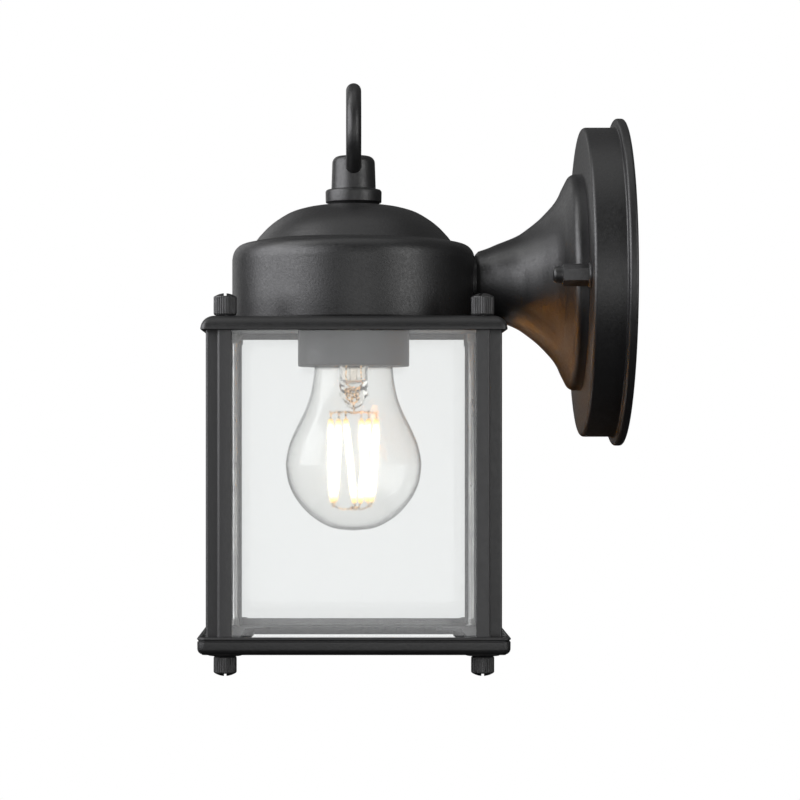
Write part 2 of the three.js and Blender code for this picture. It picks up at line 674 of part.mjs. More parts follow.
// Two filaments in series: down one, across their lower link, and up the other. Their tops
// are a sixth of a turn apart and lean in to almost meet at the bottom.
function filamentPair(start) {
  const { top, bottom, topRing, bottomRing, radius } = FILAMENT;
  const at = (ring, turn, z) => {
    const a = THREE.MathUtils.degToRad(start + turn);
    return [ring * Math.cos(a), ring * Math.sin(a), z];
  };
  const middle = (topRing + bottomRing) / 2;
  const half = (top + bottom) / 2;
  return wire([
    at(topRing, 0, top), at(middle, 10, half), at(bottomRing, 20, bottom),
    at(bottomRing, 30, bottom - 2.2),
    at(bottomRing, 40, bottom), at(middle, 50, half), at(topRing, 60, top),
  ], radius, 18, 6);
}

const { baseTop } = LAMP;
add('lamp_glass', lampGlass(), clearGlass, LANTERN_X);
add('lamp_base', lampBase(), steel, LANTERN_X);
add('lamp_insulator', turned(vectors([
  [0, baseTop + GAP], [8.8, baseTop + GAP], [5.2, 0.9], [0, 0.9],
]), SMALL), blackGlass, LANTERN_X);
add('lamp_contact', turned(vectors([
  [0, 1.2], [4.2, 1.2], [3.4, 2.2], [0, 2.6],
]), SMALL), steel, LANTERN_X);
add('lamp_stem', lampStem(), clearGlass, LANTERN_X);
add('lamp_wires', lampWires(), steel, LANTERN_X);
for (let i = 0; i < FILAMENT.pairs; i += 1) {
  add(`filament_pair_${i + 1}`, filamentPair(FIRST_FILAMENT + 120 * i), phosphor, LANTERN_X);
}

export default lantern;
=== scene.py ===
"""Outdoor wall lantern: the finished looks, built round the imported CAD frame.

The frame is in metres, with +X into the wall, +Z up and the camera on the -Y side.
Shapes are written in millimetres and scaled by MM when a mesh is made.
"""
import math
import random

import bmesh
import bpy
from mathutils import Matrix, Vector


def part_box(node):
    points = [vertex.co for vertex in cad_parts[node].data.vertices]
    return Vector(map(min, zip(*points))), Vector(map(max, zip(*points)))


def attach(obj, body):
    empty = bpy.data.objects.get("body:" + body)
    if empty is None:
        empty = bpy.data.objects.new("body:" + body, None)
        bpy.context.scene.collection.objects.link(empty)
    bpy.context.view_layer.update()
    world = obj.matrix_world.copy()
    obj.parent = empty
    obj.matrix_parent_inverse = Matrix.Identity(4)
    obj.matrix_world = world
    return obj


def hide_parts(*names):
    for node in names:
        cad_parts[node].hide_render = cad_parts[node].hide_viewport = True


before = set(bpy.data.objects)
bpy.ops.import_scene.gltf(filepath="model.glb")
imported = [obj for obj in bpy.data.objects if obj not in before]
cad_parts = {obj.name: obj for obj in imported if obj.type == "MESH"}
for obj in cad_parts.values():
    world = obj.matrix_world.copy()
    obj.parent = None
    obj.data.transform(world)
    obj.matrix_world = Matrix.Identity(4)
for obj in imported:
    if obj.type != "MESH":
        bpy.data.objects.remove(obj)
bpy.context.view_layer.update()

MM = 0.001
random.seed(7)

SHEET = 1.2  # sheet metal thickness of canopy, arm, cap and posts
ROUND = 112  # facets round a large turned piece
SMALL_ROUND = 48
WORLD_FILL = 0.12  # how bright the white studio is as a light on the lantern
COOL = (0.97, 0.97, 1.0)  # colour of the lights on the left


# ---- places from the frame
def box_mm(node):
    """Lowest and highest corner of a CAD node, in millimetres."""
    low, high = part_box(node)
    return Vector(low) / MM, Vector(high) / MM


def middle_mm(node):
    low, high = box_mm(node)
    return (low + high) / 2


AXIS_X = middle_mm("finial_hub").x  # the cage, cap and lamp stand on this vertical axis
ON_AXIS = Matrix.Translation((AXIS_X, 0, 0))


def in_scene(name, data):
    """A new object in the scene from a mesh, a light or a camera."""
    made = bpy.data.objects.new(name, data)
    bpy.context.scene.collection.objects.link(made)
    return made


# ---- camera, light and floor
def add_camera():
    """Level camera looking along +Y, a little below and left of the canopy's centre."""
    camera = in_scene("camera", bpy.data.cameras.new("camera"))
    camera.data.lens = 119.25
    camera.data.shift_x = 0.0661
    camera.data.shift_y = 0.051
    camera.location = (-0.1229, -1.187, -0.0708)
    camera.rotation_euler = (math.radians(90), 0, 0)
    bpy.context.scene.camera = camera


def add_softbox(name, azimuth, elevation, distance, width, height, power, colour=(1, 1, 1)):
    """A large area light aimed at the cage. Azimuth 0 is at the camera, 90 towards +X."""
    light = bpy.data.lights.new(name, "AREA")
    light.shape = "RECTANGLE"
    light.size = width
    light.size_y = height
    light.energy = power
    light.color = colour
    lamp = in_scene(name, light)
    turn = Matrix.Rotation(math.radians(azimuth), 3, "Z") @ Matrix.Rotation(math.radians(-elevation), 3, "X")
    away = turn @ Vector((0, -1, 0))
    target = Vector((AXIS_X * MM, 0, -0.03))
    lamp.location = target + away * distance
    lamp.rotation_euler = away.to_track_quat("Z", "Y").to_euler()


def add_lamp_glow():
    """Warm light from the filaments towards the underside of the arm."""
    light = bpy.data.lights.new("lamp_glow", "SPOT")
    light.energy = 1.0
    light.color = (1.0, 0.36, 0.0)
    light.spot_size = math.radians(75)
    light.spot_blend = 0.7
    light.shadow_soft_size = 18 * MM
    lamp = in_scene("lamp_glow", light)
    lamp.location = (AXIS_X * MM, 0, (FILAMENT_TOP + FILAMENT_BOTTOM) / 2 * MM)
    lamp.rotation_euler = Vector((-70, 0, -46)).to_track_quat("Z", "Y").to_euler()
    lamp.visible_camera = False
    lamp.visible_transmission = False


def add_world():
    """A white studio: bright behind the glass, dimmer as a light on the lantern itself."""
    world = bpy.data.worlds.new("studio")
    world.use_nodes = True
    s = Nodes(world.node_tree)
    path = s.add("LightPath").outputs
    depth = s.maths("ADD", path["Diffuse Depth"], path["Glossy Depth"])
    loss = -0.5  # light that leaves glass again keeps half its strength
    bounced = s.made("Math", {0: path["Is Transmission Ray"], 1: loss, 2: depth}, operation="MULTIPLY_ADD")
    height = s.made("SeparateXYZ", {0: s.made("TexCoord", {}, "Generated")}, "Z")
    fill = s.remap(height, -0.25, 0.6, 0.0, WORLD_FILL)
    background = s.tree.nodes["Background"].inputs
    background["Color"].default_value = (1, 1, 1, 1)
    s.put(background["Strength"], s.remap(bounced, 0.0, 1.0, 1.0, fill))
    bpy.context.scene.world = world


def add_floor():
    """A plain pale floor under the lantern."""
    mesh = bpy.data.meshes.new("floor")
    half, level = 0.42, -0.46
    corners = [(-half, -half), (half, -half), (half, half), (-half, half)]
    mesh.from_pydata([(x + AXIS_X * MM, y, level) for x, y in corners], [], [(0, 1, 2, 3)])
    floor = in_scene("floor", mesh)
    mesh.materials.append(Shader("pale_floor").finish((0.82, 0.82, 0.82, 1), 0.7))
    floor.visible_glossy = False  # the lantern hangs well above the ground
    floor.visible_diffuse = False


# ---- material nodes
class Nodes:
    """Short calls for nodes in the tree of a material or of the world."""

    def __init__(self, tree):
        self.tree = tree

    def add(self, kind):
        return self.tree.nodes.new("ShaderNode" + kind)

    def put(self, socket, value):
        """Sets a socket to a value, or links another socket to it."""
        if isinstance(value, bpy.types.NodeSocket):
            self.tree.links.new(value, socket)
        else:
            socket.default_value = value

    def made(self, kind, inputs, output=0, **settings):
        """One output of a new node with these inputs and settings."""
        node = self.add(kind)
        for name, value in settings.items():
            setattr(node, name, value)
        for socket, value in inputs.items():
            self.put(node.inputs[socket], value)
        return node.outputs[output]

    def remap(self, value, low, high, to_low=0.0, to_high=1.0):
        return self.made("MapRange", {"Value": value, "From Min": low, "From Max": high,
                                      "To Min": to_low, "To Max": to_high})

    def maths(self, operation, first, second):
        return self.made("Math", {0: first, 1: second}, operation=operation)

    def blend(self, factor, first, second):
        """A colour between two, each a colour or a socket."""
        return self.made("Mix", {0: factor, 6: first, 7: second}, 2, data_type="RGBA")


class Shader(Nodes):
    """A Principled material with procedural detail in object space."""

    def __init__(self, name, **numbers):
        self.material = bpy.data.materials.new(name)
        self.material.use_nodes = True
        super().__init__(self.material.node_tree)
        self.surface = self.tree.nodes["Principled BSDF"]
        self.output = self.tree.nodes["Material Output"]
        self.space = self.made("TexCoord", {}, "Object")
        for socket, number in numbers.items():
            self.surface.inputs[socket.replace("_", " ")].default_value = number

    def noise(self, scale, detail=2.0, stretch=(1, 1, 1), rough=0.5):
        """Noise of so many features per metre, optionally stretched along an axis."""
        place = self.made("Mapping", {"Vector": self.space, "Scale": stretch})
        return self.made("TexNoise", {"Vector": place, "Scale": scale, "Detail": detail,
                                      "Roughness": rough})

    def worn_edges(self):
        """0 on flat metal, 1 on sharp convex edges."""
        return self.remap(self.made("NewGeometry", {}, "Pointiness"), 0.52, 0.6)

    def bump(self, height, strength, distance, before=None):
        inputs = {"Height": height, "Strength": strength, "Distance": distance}
        if before is not None:
            inputs["Normal"] = before
        return self.made("Bump", inputs)

    def finish(self, colour=None, roughness=None, normal=None):
        for socket, value in (("Base Color", colour), ("Roughness", roughness), ("Normal", normal)):
            if value is not None:
                self.put(self.surface.inputs[socket], value)
        return self.material

    def mix_in(self, factor, shader):
        """Mixes another shader into what is shown so far."""
        shown = self.output.inputs["Surface"].links[0].from_socket
        mixed = self.made("MixShader", {0: factor, 1: shown, 2: shader})
        self.put(self.output.inputs["Surface"], mixed)

    def let_lamps_through(self, share):
        """Rays from lamps pass straight through, so that glass casts no dark shadow."""
        clear = self.made("BsdfTransparent", {"Color": (share, share, share, 1)})
        self.mix_in(self.made("LightPath", {}, "Is Shadow Ray"), clear)


def powder_coat():
    """Matte black powder coat: fine orange peel, faint speckle, edges polished by handling."""
    s = Shader("powder_coat", IOR=1.64)
    grain = 1500
    speckle = s.noise(grain * 1.6, detail=3.0, rough=0.7)
    cloud = s.remap(s.noise(38, detail=3.0), 0.35, 0.65)
    base = s.blend(cloud, (0.004, 0.00404, 0.00424, 1), (0.0065, 0.006565, 0.006825, 1))
    speckled = s.blend(s.remap(speckle, 0.56, 0.74), base, (0.022, 0.022, 0.023, 1))
    worn = s.blend(s.worn_edges(), speckled, (0.03, 0.03, 0.031, 1))
    rough = s.remap(s.noise(grain * 0.5), 0.3, 0.7, 0.34, 0.46)
    peel = s.bump(s.noise(grain * 0.7), 0.5, 0.00012)
    return s.finish(worn, rough, s.bump(speckle, 0.4, 0.00006, before=peel))


def brushed_metal(name, dark, light, roughness=0.32, stretch=(1, 1, 1), metallic=1.0):
    """Plain or plated metal with drawn lines, faint stains and softly worn edges."""
    s = Shader(name, Metallic=metallic)
    lines = s.noise(700, detail=4.0, stretch=stretch)
    stain = s.remap(s.noise(90, detail=4.0, rough=0.6), 0.35, 0.7)
    bright = tuple(min(1.0, c * 1.25) for c in light)
    worn = s.blend(s.worn_edges(), s.blend(stain, (*dark, 1), (*light, 1)), (*bright, 1))
    rough = s.remap(lines, 0.3, 0.7, roughness * 0.75, roughness * 1.3)
    return s.finish(worn, rough, s.bump(lines, 0.12, 0.00008))


def wire_with_painted_glints():
    """Fine support wire in the lamp: dark brown and cream in random patches, the cream patches glowing by
    emission as a painted highlight of the filament light.
    """
    s = Shader("lamp_wire", Metallic=0.8, Emission_Strength=0.7)
    glint_patches = s.remap(s.noise(1100), 0.42, 0.58)
    # painted highlight: the cream patches glow as if lit by the filaments, though the wire is no lamp
    glow = s.blend(glint_patches, (0.05, 0.02, 0.01, 1), (1.0, 0.70, 0.38, 1))
    s.put(s.surface.inputs["Emission Color"], glow)
    # the base colour follows the same patches, dark brown to cream, as part of the painted highlight
    base = s.blend(glint_patches, (0.06, 0.03, 0.015, 1), (0.80, 0.52, 0.28, 1))
    return s.finish(base, s.remap(glint_patches, 0.0, 1.0, 0.5, 0.35))


def moulded_plastic(name, colour, roughness):
    """Moulded plastic, lacquer or rubber with fine texture and slight colour variation."""
    s = Shader(name)
    grain = 900
    shade = tuple(c * 0.88 for c in colour)
    base = s.blend(s.remap(s.noise(70, detail=4.0), 0.3, 0.7), (*shade, 1), (*colour, 1))
    rough = s.remap(s.noise(grain * 0.4), 0.3, 0.7, roughness * 0.85, roughness * 1.15)
    return s.finish(base, rough, s.bump(s.noise(grain, detail=3.0), 0.15, 0.00008))


def glazed_porcelain():
    s = Shader("porcelain", Coat_Weight=0.35)
    stain = s.remap(s.noise(120, detail=5.0), 0.3, 0.75)
    base = s.blend(stain, (0.62, 0.60, 0.55, 1), (0.80, 0.78, 0.73, 1))
    return s.finish(base, s.remap(s.noise(60), 0.3, 0.7, 0.14, 0.26), s.bump(s.noise(260), 0.08, 0.0002))


def foam_rubber():
    s = Shader("foam")
    pores = s.made("TexVoronoi", {"Vector": s.space, "Scale": 1400})
    base = s.blend(s.remap(pores, 0.05, 0.5), (0.006, 0.006, 0.006, 1), (0.03, 0.03, 0.031, 1))
    return s.finish(base, 0.95, s.bump(pores, 0.6, 0.0003))


def pane_glass():
    """Clear bevelled pane: slightly grey, with a thin film of haze and faint wiping streaks."""
    s = Shader("pane_glass", Transmission_Weight=1.0, IOR=1.5)
    s.finish((0.88, 0.89, 0.887, 1), 0.0)
    film = s.remap(s.noise(26, detail=4.0, stretch=(1, 1, 0.35)), 0.25, 0.75, 0.027, 0.035)
    s.mix_in(film, s.made("BsdfDiffuse", {"Color": (0.62, 0.63, 0.64, 1)}))
    s.let_lamps_through(0.93)
    return s.material


def blown_glass(name, tint, ior, roughness):
    """Thin clear glass with slow waves from blowing."""
    s = Shader(name, Transmission_Weight=1.0, IOR=ior, Specular_IOR_Level=0.25)
    s.finish((*tint, 1), roughness, s.bump(s.noise(45, detail=1.0), 0.05, 0.0006))
    s.let_lamps_through(0.97)
    return s.material


def glowing_phosphor(low, high):
    """Filament coating, white-hot along its length and amber at both ends."""
    s = Shader("phosphor")
    height = s.made("SeparateXYZ", {0: s.space}, "Z")
    tail = 0.0065  # metres of amber at each end
    from_end = s.maths("MINIMUM", s.remap(height, low, low + tail), s.remap(height, high, high - tail))
    colour = s.blend(from_end, (1.0, 0.60, 0.14, 1), (1.0, 0.88, 0.66, 1))
    beads = s.remap(s.noise(900, detail=1.0), 0.3, 0.7, 0.0, 0.4)
    power = s.remap(s.maths("POWER", from_end, 2.2), 0.0, 1.0, 0.85, 13.0)
    path = s.add("LightPath").outputs
    bounces = s.maths("ADD", path["Diffuse Depth"], path["Glossy Depth"])
    seen = s.remap(bounces, 0.0, 1.0, 1.0, 0.0)  # the lamp glow lights the metal instead
    s.put(s.surface.inputs["Emission Color"], s.blend(beads, colour, (1.0, 0.92, 0.74, 1)))
    s.put(s.surface.inputs["Emission Strength"], s.maths("MULTIPLY", power, seen))
    return s.finish((0.9, 0.62, 0.2, 1), 0.6)


# ---- outlines
def circle(radius, z, facets=SMALL_ROUND):
    """A level ring of points; radius is a number, or a function of the angle."""
    ring = []
    for k in range(facets):
        a = 2 * math.pi * k / facets
        r = radius(a) if callable(radius) else radius
        ring.append((r * math.cos(a), r * math.sin(a), z))
    return ring


def arc(cx, cy, radius, start, end, steps=8):
    """Points of a circular arc, angles in degrees, both ends included."""
    points = []
    for i in range(steps + 1):
        a = math.radians(start + (end - start) * i / steps)
        points.append((cx + radius * math.cos(a), cy + radius * math.sin(a)))
    return points


def curve_through(points, steps=6):
    """A smooth Catmull-Rom curve through points of any dimension."""
    spots = [Vector(p) for p in points]
    spots = [2 * spots[0] - spots[1]] + spots + [2 * spots[-1] - spots[-2]]
    out = []
    for a, b, c, d in zip(spots, spots[1:], spots[2:], spots[3:]):
        for i in range(steps):
            t = i / steps
            out.append(0.5 * (2 * b + (c - a) * t + (2 * a - 5 * b + 4 * c - d) * t * t
                              + (3 * b - a - 3 * c + d) * t * t * t))
    out.append(spots[-2])
    return [tuple(p) for p in out]


def rounded(points, steps=4, closed=True):
    """An outline with its corners rounded. Each point is (x, y, radius)."""
    out = []
    count = len(points)
    for i, (x, y, radius) in enumerate(points):
        if radius <= 0 or (not closed and i in (0, count - 1)):
            out.append((x, y))
            continue
        here = Vector((x, y))
        before = Vector(points[i - 1][:2]) - here
        after = Vector(points[(i + 1) % count][:2]) - here
        half = before.angle(after) / 2
        run = min(radius / math.tan(half), before.length * 0.49, after.length * 0.49)
        true_radius = run * math.tan(half)
        first, last = before.normalized(), after.normalized()
        centre = here + (first + last).normalized() * (true_radius / math.sin(half))
        start, end = here + first * run - centre, here + last * run - centre
        for k in range(steps + 1):
            spoke = start.slerp(end, k / steps).normalized()
            out.append(tuple(centre + spoke * true_radius))
    return out


def sideways(points, distance):
    """An open outline moved to the left of its direction."""
    out = []
    for i, (x, y) in enumerate(points):
        before = Vector(points[max(i - 1, 0)])
        after = Vector(points[min(i + 1, len(points) - 1)])
        along = (after - before).normalized()
        out.append((x - along.y * distance, y + along.x * distance))
    return out


def four_corners(first):
    """The points of one corner of a square, then the same at its other three corners."""
    out = []
    for _ in range(4):
        out += first
        first = [(-y, x) for x, y in first]
    return out


CORNER_STEPS = 8


def rounded_square(half, radius):
    """A square with rounded corners; a radius equal to half gives a circle."""
    return four_corners(arc(half - radius, half - radius, radius, 0, 90, CORNER_STEPS))


def octagon(half, chamfer):
    """A square with cut corners, with the same number of points as rounded_square."""
    cuts = [chamfer * k / CORNER_STEPS for k in range(CORNER_STEPS + 1)]
    return four_corners([(half - cut, half - chamfer + cut) for cut in cuts])


# ---- meshes
def piece(name, mesh, node, slot="black_paint", body="lantern", sharp=32, look=None):
    """Puts a finished mesh in the scene in place of a CAD node, riding on a body."""
    made = in_scene(name, mesh)
    mesh.materials.append(look or LOOKS[slot])
    mesh.shade_smooth()
    mesh.set_sharp_from_angle(angle=math.radians(sharp))
    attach(made, body)
    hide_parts(node)


def mesh_from(verts, faces, place=None):
    """A mesh in metres from points in millimetres, with doubles merged and normals facing out."""
    mesh = bpy.data.meshes.new("part")
    mesh.from_pydata([((place or ABOUT_Z) @ Vector(v)) * MM for v in verts], [], faces)
    work = bmesh.new()
    work.from_mesh(mesh)
    bmesh.ops.remove_doubles(work, verts=work.verts, dist=1e-6)
    bmesh.ops.dissolve_degenerate(work, edges=work.edges, dist=1e-7)
    bmesh.ops.recalc_face_normals(work, faces=work.faces)
    work.to_mesh(mesh)
    work.free()
    return mesh


def rings_mesh(rings, place=None, loop=False):
    """Joins rings of equally many points, lowest first; closes the ends, or joins them."""
    count = len(rings[0])
    verts = [p for ring in rings for p in ring]
    faces = []
    for level in range(len(rings) if loop else len(rings) - 1):
        low = level * count
        high = ((level + 1) % len(rings)) * count
        for i in range(count):
            j = (i + 1) % count
            faces.append((low + i, low + j, high + j, high + i))
    if not loop:
        faces.append(tuple(range(count)))
        faces.append(tuple(range(len(verts) - count, len(verts))))
    return mesh_from(verts, faces, place)


ABOUT_Z = Matrix.Identity(4)
ABOUT_X = Matrix(((0, 0, 1), (0, 1, 0), (-1, 0, 0))).to_4x4()  # turned heights go to +X
ABOUT_Y = Matrix(((1, 0, 0), (0, 0, 1), (0, -1, 0))).to_4x4()  # turned heights go to +Y


def at(x, y, z, turn=ABOUT_Z):
    return Matrix.Translation((x, y, z)) @ turn


def turned_mesh(outline, place=None, facets=ROUND):
    """A body of revolution. The outline of (radius, height) starts and ends on the axis, or closes."""
    verts, rows = [], []
    for r, h in outline:
        if r < 1e-5:
            rows.append([len(verts)] * facets)
            verts.append((0, 0, h))
        else:
            rows.append(list(range(len(verts), len(verts) + facets)))
            verts += circle(r, h, facets)
    on_axis = outline[0][0] < 1e-5 and outline[-1][0] < 1e-5
    pairs = list(zip(rows, rows[1:]))
    if not on_axis:
        pairs.append((rows[-1], rows[0]))
    faces = []
    for low, high in pairs:
        for k in range(facets):
            j = (k + 1) % facets
            corners = []
            for v in (low[k], low[j], high[j], high[k]):
                if v not in corners:
                    corners.append(v)
            if len(corners) > 2:
                faces.append(tuple(corners))
    return mesh_from(verts, faces, place)


def square_rings(profile):
    """Rings for (half, corner radius, height) stations of a square frame."""
    return [[(x, y, z) for x, y in rounded_square(half, radius)] for half, radius, z in profile]


def prism_mesh(outline, low, high, place=None):
    return rings_mesh([[(x, y, z) for x, y in outline] for z in (low, high)], place)


def ease_edges(mesh, width, angle):
    """Bevels the sharp edges of a mesh, in place."""
    work = bmesh.new()
    work.from_mesh(mesh)
    sharp = [e for e in work.edges if len(e.link_faces) == 2 and e.calc_face_angle() > math.radians(angle)]
    bmesh.ops.bevel(work, geom=sharp, offset=width * MM, segments=2, profile=0.5,
                    affect="EDGES", clamp_overlap=True)
    work.to_mesh(mesh)
    work.free()
    return mesh


def swept_mesh(path, radius, sides=16):
    """A round rod along a path from the cage's axis; radius is a number, or one for each point."""
    spots = [Vector(p) for p in path]
    radii = radius if isinstance(radius, list) else [radius] * len(spots)
    rings = []
    side = None
    for i, spot in enumerate(spots):
        along = (spots[min(i + 1, len(spots) - 1)] - spots[max(i - 1, 0)]).normalized()
        if side is None:
            side = along.orthogonal().normalized()
        side = (side - along * side.dot(along)).normalized()
        other = along.cross(side)
        rings.append([tuple(spot + side * x + other * y) for x, y, _ in circle(radii[i], 0, sides)])
    return rings_mesh(rings, ON_AXIS)


def joined(meshes):
    """One mesh from several closed bodies."""
    work = bmesh.new()
    for mesh in meshes:
        work.from_mesh(mesh)
    out = bpy.data.meshes.new("part")
    work.to_mesh(out)
    work.free()
    for mesh in meshes:
        bpy.data.meshes.remove(mesh)
    return out


def cut_mesh(mesh, tools, operation="DIFFERENCE"):
    """The mesh after an exact boolean with closed tool meshes."""
    holder = in_scene("cut_holder", mesh)
    helpers = [in_scene("cut_helper", tool) for tool in tools]
    for helper in helpers:
        cutter = holder.modifiers.new("cut", "BOOLEAN")
        cutter.operation = operation
        cutter.solver = "EXACT"
        cutter.object = helper
    graph = bpy.context.evaluated_depsgraph_get()
    result = bpy.data.meshes.new_from_object(holder.evaluated_get(graph))
    for made in [holder, *helpers]:
        data = made.data
        bpy.data.objects.remove(made)
        bpy.data.meshes.remove(data)
    return result


def box_mesh(low, high, place=None):
    (x0, y0, z0), (x1, y1, z1) = low, high
    return prism_mesh([(x0, y0), (x1, y0), (x1, y1), (x0, y1)], z0, z1, place)


def threaded_rings(low, high, crest, depth, pitch, facets=36, per_turn=6, runout=0.6):
    """Rings of a screw thread: one true helix, fading out at both ends."""
    count = max(2, int((high - low) / pitch * per_turn))
    rings = []
    for level in range(count + 1):
        z = low + (high - low) * level / count
        fade = max(0.0, min(1.0, (z - low) / runout, (high - z) / runout))

        def thread(a):
            wave = 0.5 - 0.5 * math.cos(2 * math.pi * z / pitch - a)
            return crest - depth * (1 - wave * fade)

        rings.append(circle(thread, z, facets))
    return rings


# ---- hardware shapes
ALONG_X = Matrix(((0, 0, 1), (1, 0, 0), (0, 1, 0))).to_4x4()  # outlines drawn in Y, Z
ALONG_Y = Matrix(((1, 0, 0), (0, 0, 1), (0, 1, 0))).to_4x4()  # outlines drawn in X, Z
CLEAR = 0.3  # between a hole and what passes through it
STUD = 2.0  # radius of the studs, corner rods and ground screw
SCREW_HOLE = STUD + CLEAR
STEM = 3.0  # radius of the finial's stem


def spun(points, place, steps=4, facets=SMALL_ROUND):
    """A turned body. Each point of its outline is (radius, height, corner radius)."""
    return turned_mesh(rounded(points, steps), place, facets)


def cylinder_mesh(radius, low, high, place):
    return turned_mesh([(0, low), (radius, low), (radius, high), (0, high)], place, SMALL_ROUND)


def hex_bar(across_flats, low, high, place):
    """A hexagon bar, both ends chamfered round as on a turned nut."""
    corner = across_flats / math.sqrt(3)
    flat = across_flats / 2 * 0.96
    rise = (corner - flat) * math.tan(math.radians(30))
    wide = corner * 1.01
    limit = [(0, low), (flat, low), (wide, low + rise), (wide, high - rise), (flat, high), (0, high)]
    bar = rings_mesh([circle(corner, z, 6) for z in (low - 1, high + 1)], place)
    return cut_mesh(bar, [turned_mesh(limit, place, SMALL_ROUND)], "INTERSECT")


def hex_nut(across_flats, bore, low, high, place):
    nut = cut_mesh(hex_bar(across_flats, low, high, place), [cylinder_mesh(bore, low - 2, high + 2, place)])
    return ease_edges(nut, 0.12, angle=50)


def threaded_rod(radius, low, high, place, pitch=0.7, threaded=None):
    """A rod with a chamfered, threaded stretch at both ends, or all along it."""
    depth = 0.6 * pitch
    facets = 24
    length = threaded if threaded else (high - low) / 2
    rings = [circle(radius - depth, low, facets)]
    rings += threaded_rings(low + depth, low + length, radius, depth, pitch, facets)
    rings += threaded_rings(high - length, high - depth, radius, depth, pitch, facets)
    rings.append(circle(radius - depth, high, facets))
    return rings_mesh(rings, place)


# ---- wall canopy and arm
PAN_FRONT = box_mm("canopy_pan")[0].x
PAN_RIM = box_mm("canopy_pan")[1].y
PAN_RADIUS = PAN_RIM - 4
TIE_RADIUS = box_mm("tie_nipple")[1].y
STUD_Y = middle_mm("canopy_stud_back").y
GROUND_Y = middle_mm("ground_screw").y
CAP_RADIUS = box_mm("roof_cap")[1].y
ON_PAN = PAN_FRONT - 0.05  # faces that rest on the pan's front


def make_canopy():
    """A drawn pan with a tight front edge and a narrow rolled rim against the wall."""
    bore = TIE_RADIUS + CLEAR
    back = PAN_FRONT + SHEET
    shell = spun([
        (bore, PAN_FRONT, 0.2), (PAN_RADIUS, PAN_FRONT, 1.8), (PAN_RADIUS, -4, 0.8),
        (PAN_RIM, -4, 1.3), (PAN_RIM, 0, 1.2), (PAN_RADIUS - SHEET, 0, 0.5),
        (PAN_RADIUS - SHEET, back, 0.8), (bore, back, 0.2),
    ], ABOUT_X, steps=6, facets=160)
    holes = [cylinder_mesh(SCREW_HOLE, PAN_FRONT - 2, PAN_FRONT + 4, at(0, y, 0, ABOUT_X))
             for y in (-STUD_Y, STUD_Y)]
    piece("canopy", cut_mesh(shell, holes), "canopy_pan")


def make_gasket():
    low, high = box_mm("wall_gasket")
    inner = 62.6
    gasket = spun([
        (inner, low.x, 0.6), (high.y, low.x, 0.6), (high.y, high.x, 0.3), (inner, high.x, 0.3),
    ], ABOUT_X, facets=ROUND)
    piece("gasket", gasket, "wall_gasket", "foam")


def make_arm():
    """Spun from one sheet: a short neck against the cap that opens like a trumpet onto the pan."""
    neck = 12.4
    flare = curve_through([
        (13.9, -64.3), (15.4, -59.9), (17.0, -56.2), (20.6, -47.3), (24.2, -41.9), (27.8, -37.4),
        (31.4, -33.8), (34.9, -30.7), (38.3, -28.5), (41.6, -27.0),
    ], steps=5)
    lip = rounded([(41.6, -27.0, 0), (48.3, -23.6, 6.0), (48.3, ON_PAN, 0)], steps=12, closed=False)[1:]
    outside = [(neck + 0.3, -65.4)] + flare + lip
    inside = sideways(outside[:-1], SHEET)[::-1]
    seat = cap_seat_ring(neck), cap_seat_ring(neck - SHEET)
    rings = [seat[0]] + [ring_about_x(r, x) for r, x in outside]
    rings += [ring_about_x(48.3 - SHEET, ON_PAN)] + [ring_about_x(r, x) for r, x in inside] + [seat[1]]
    piece("arm", rings_mesh(rings, loop=True), "trumpet_arm")


def ring_about_x(radius, x):
    return [(x, y, z) for y, z, _ in circle(radius, 0, ROUND)]


def cap_seat_ring(radius):
    """A ring of the arm that follows the round side of the cap."""
    touch = CAP_RADIUS + 0.05
    return [(AXIS_X + math.sqrt(touch ** 2 - y ** 2), y, z) for _, y, z in ring_about_x(radius, 0)]


def make_acorn_nut(side):
    """Small hexagon cap nut: round flange, chamfered hexagon, domed end."""
    low = box_mm(f"acorn_nut_{side}")[0]
    hexagon_end = low.x + 4.2
    place = at(0, middle_mm(f"acorn_nut_{side}").y, 0, ABOUT_X)
    flange = spun([
        (0, ON_PAN - 1.2, 0), (5.2, ON_PAN - 1.2, 0.5), (5.6, ON_PAN, 0.2), (0, ON_PAN, 0),
    ], place, steps=3)
    dome = spun([
        (0, hexagon_end + 1, 0), (3.7, hexagon_end + 1, 0), (3.7, hexagon_end - 0.6, 0.3),
        (3.4, low.x, 2.7), (0, low.x, 0),
    ], place, steps=8)
    nut = cut_mesh(hex_bar(8.4, hexagon_end, ON_PAN - 0.6, place), [flange, dome], "UNION")
    bore = cylinder_mesh(SCREW_HOLE, low.x + 4.5, ON_PAN + 1, place)
    piece(f"acorn_cap_{side}", cut_mesh(nut, [bore]), f"acorn_nut_{side}", body=f"acorn_{side}")


def make_canopy_stud(side):
    low, high = box_mm(f"canopy_stud_{side}")
    place = at(0, (low.y + high.y) / 2, 0, ABOUT_X)
    rod = threaded_rod(STUD, low.x, high.x, place)
    nut = hex_nut(7, 1.9, -4.9, -1.9, place)
    stud = cut_mesh(rod, [nut], "UNION")
    piece(f"stud_{side}", stud, f"canopy_stud_{side}", "steel")


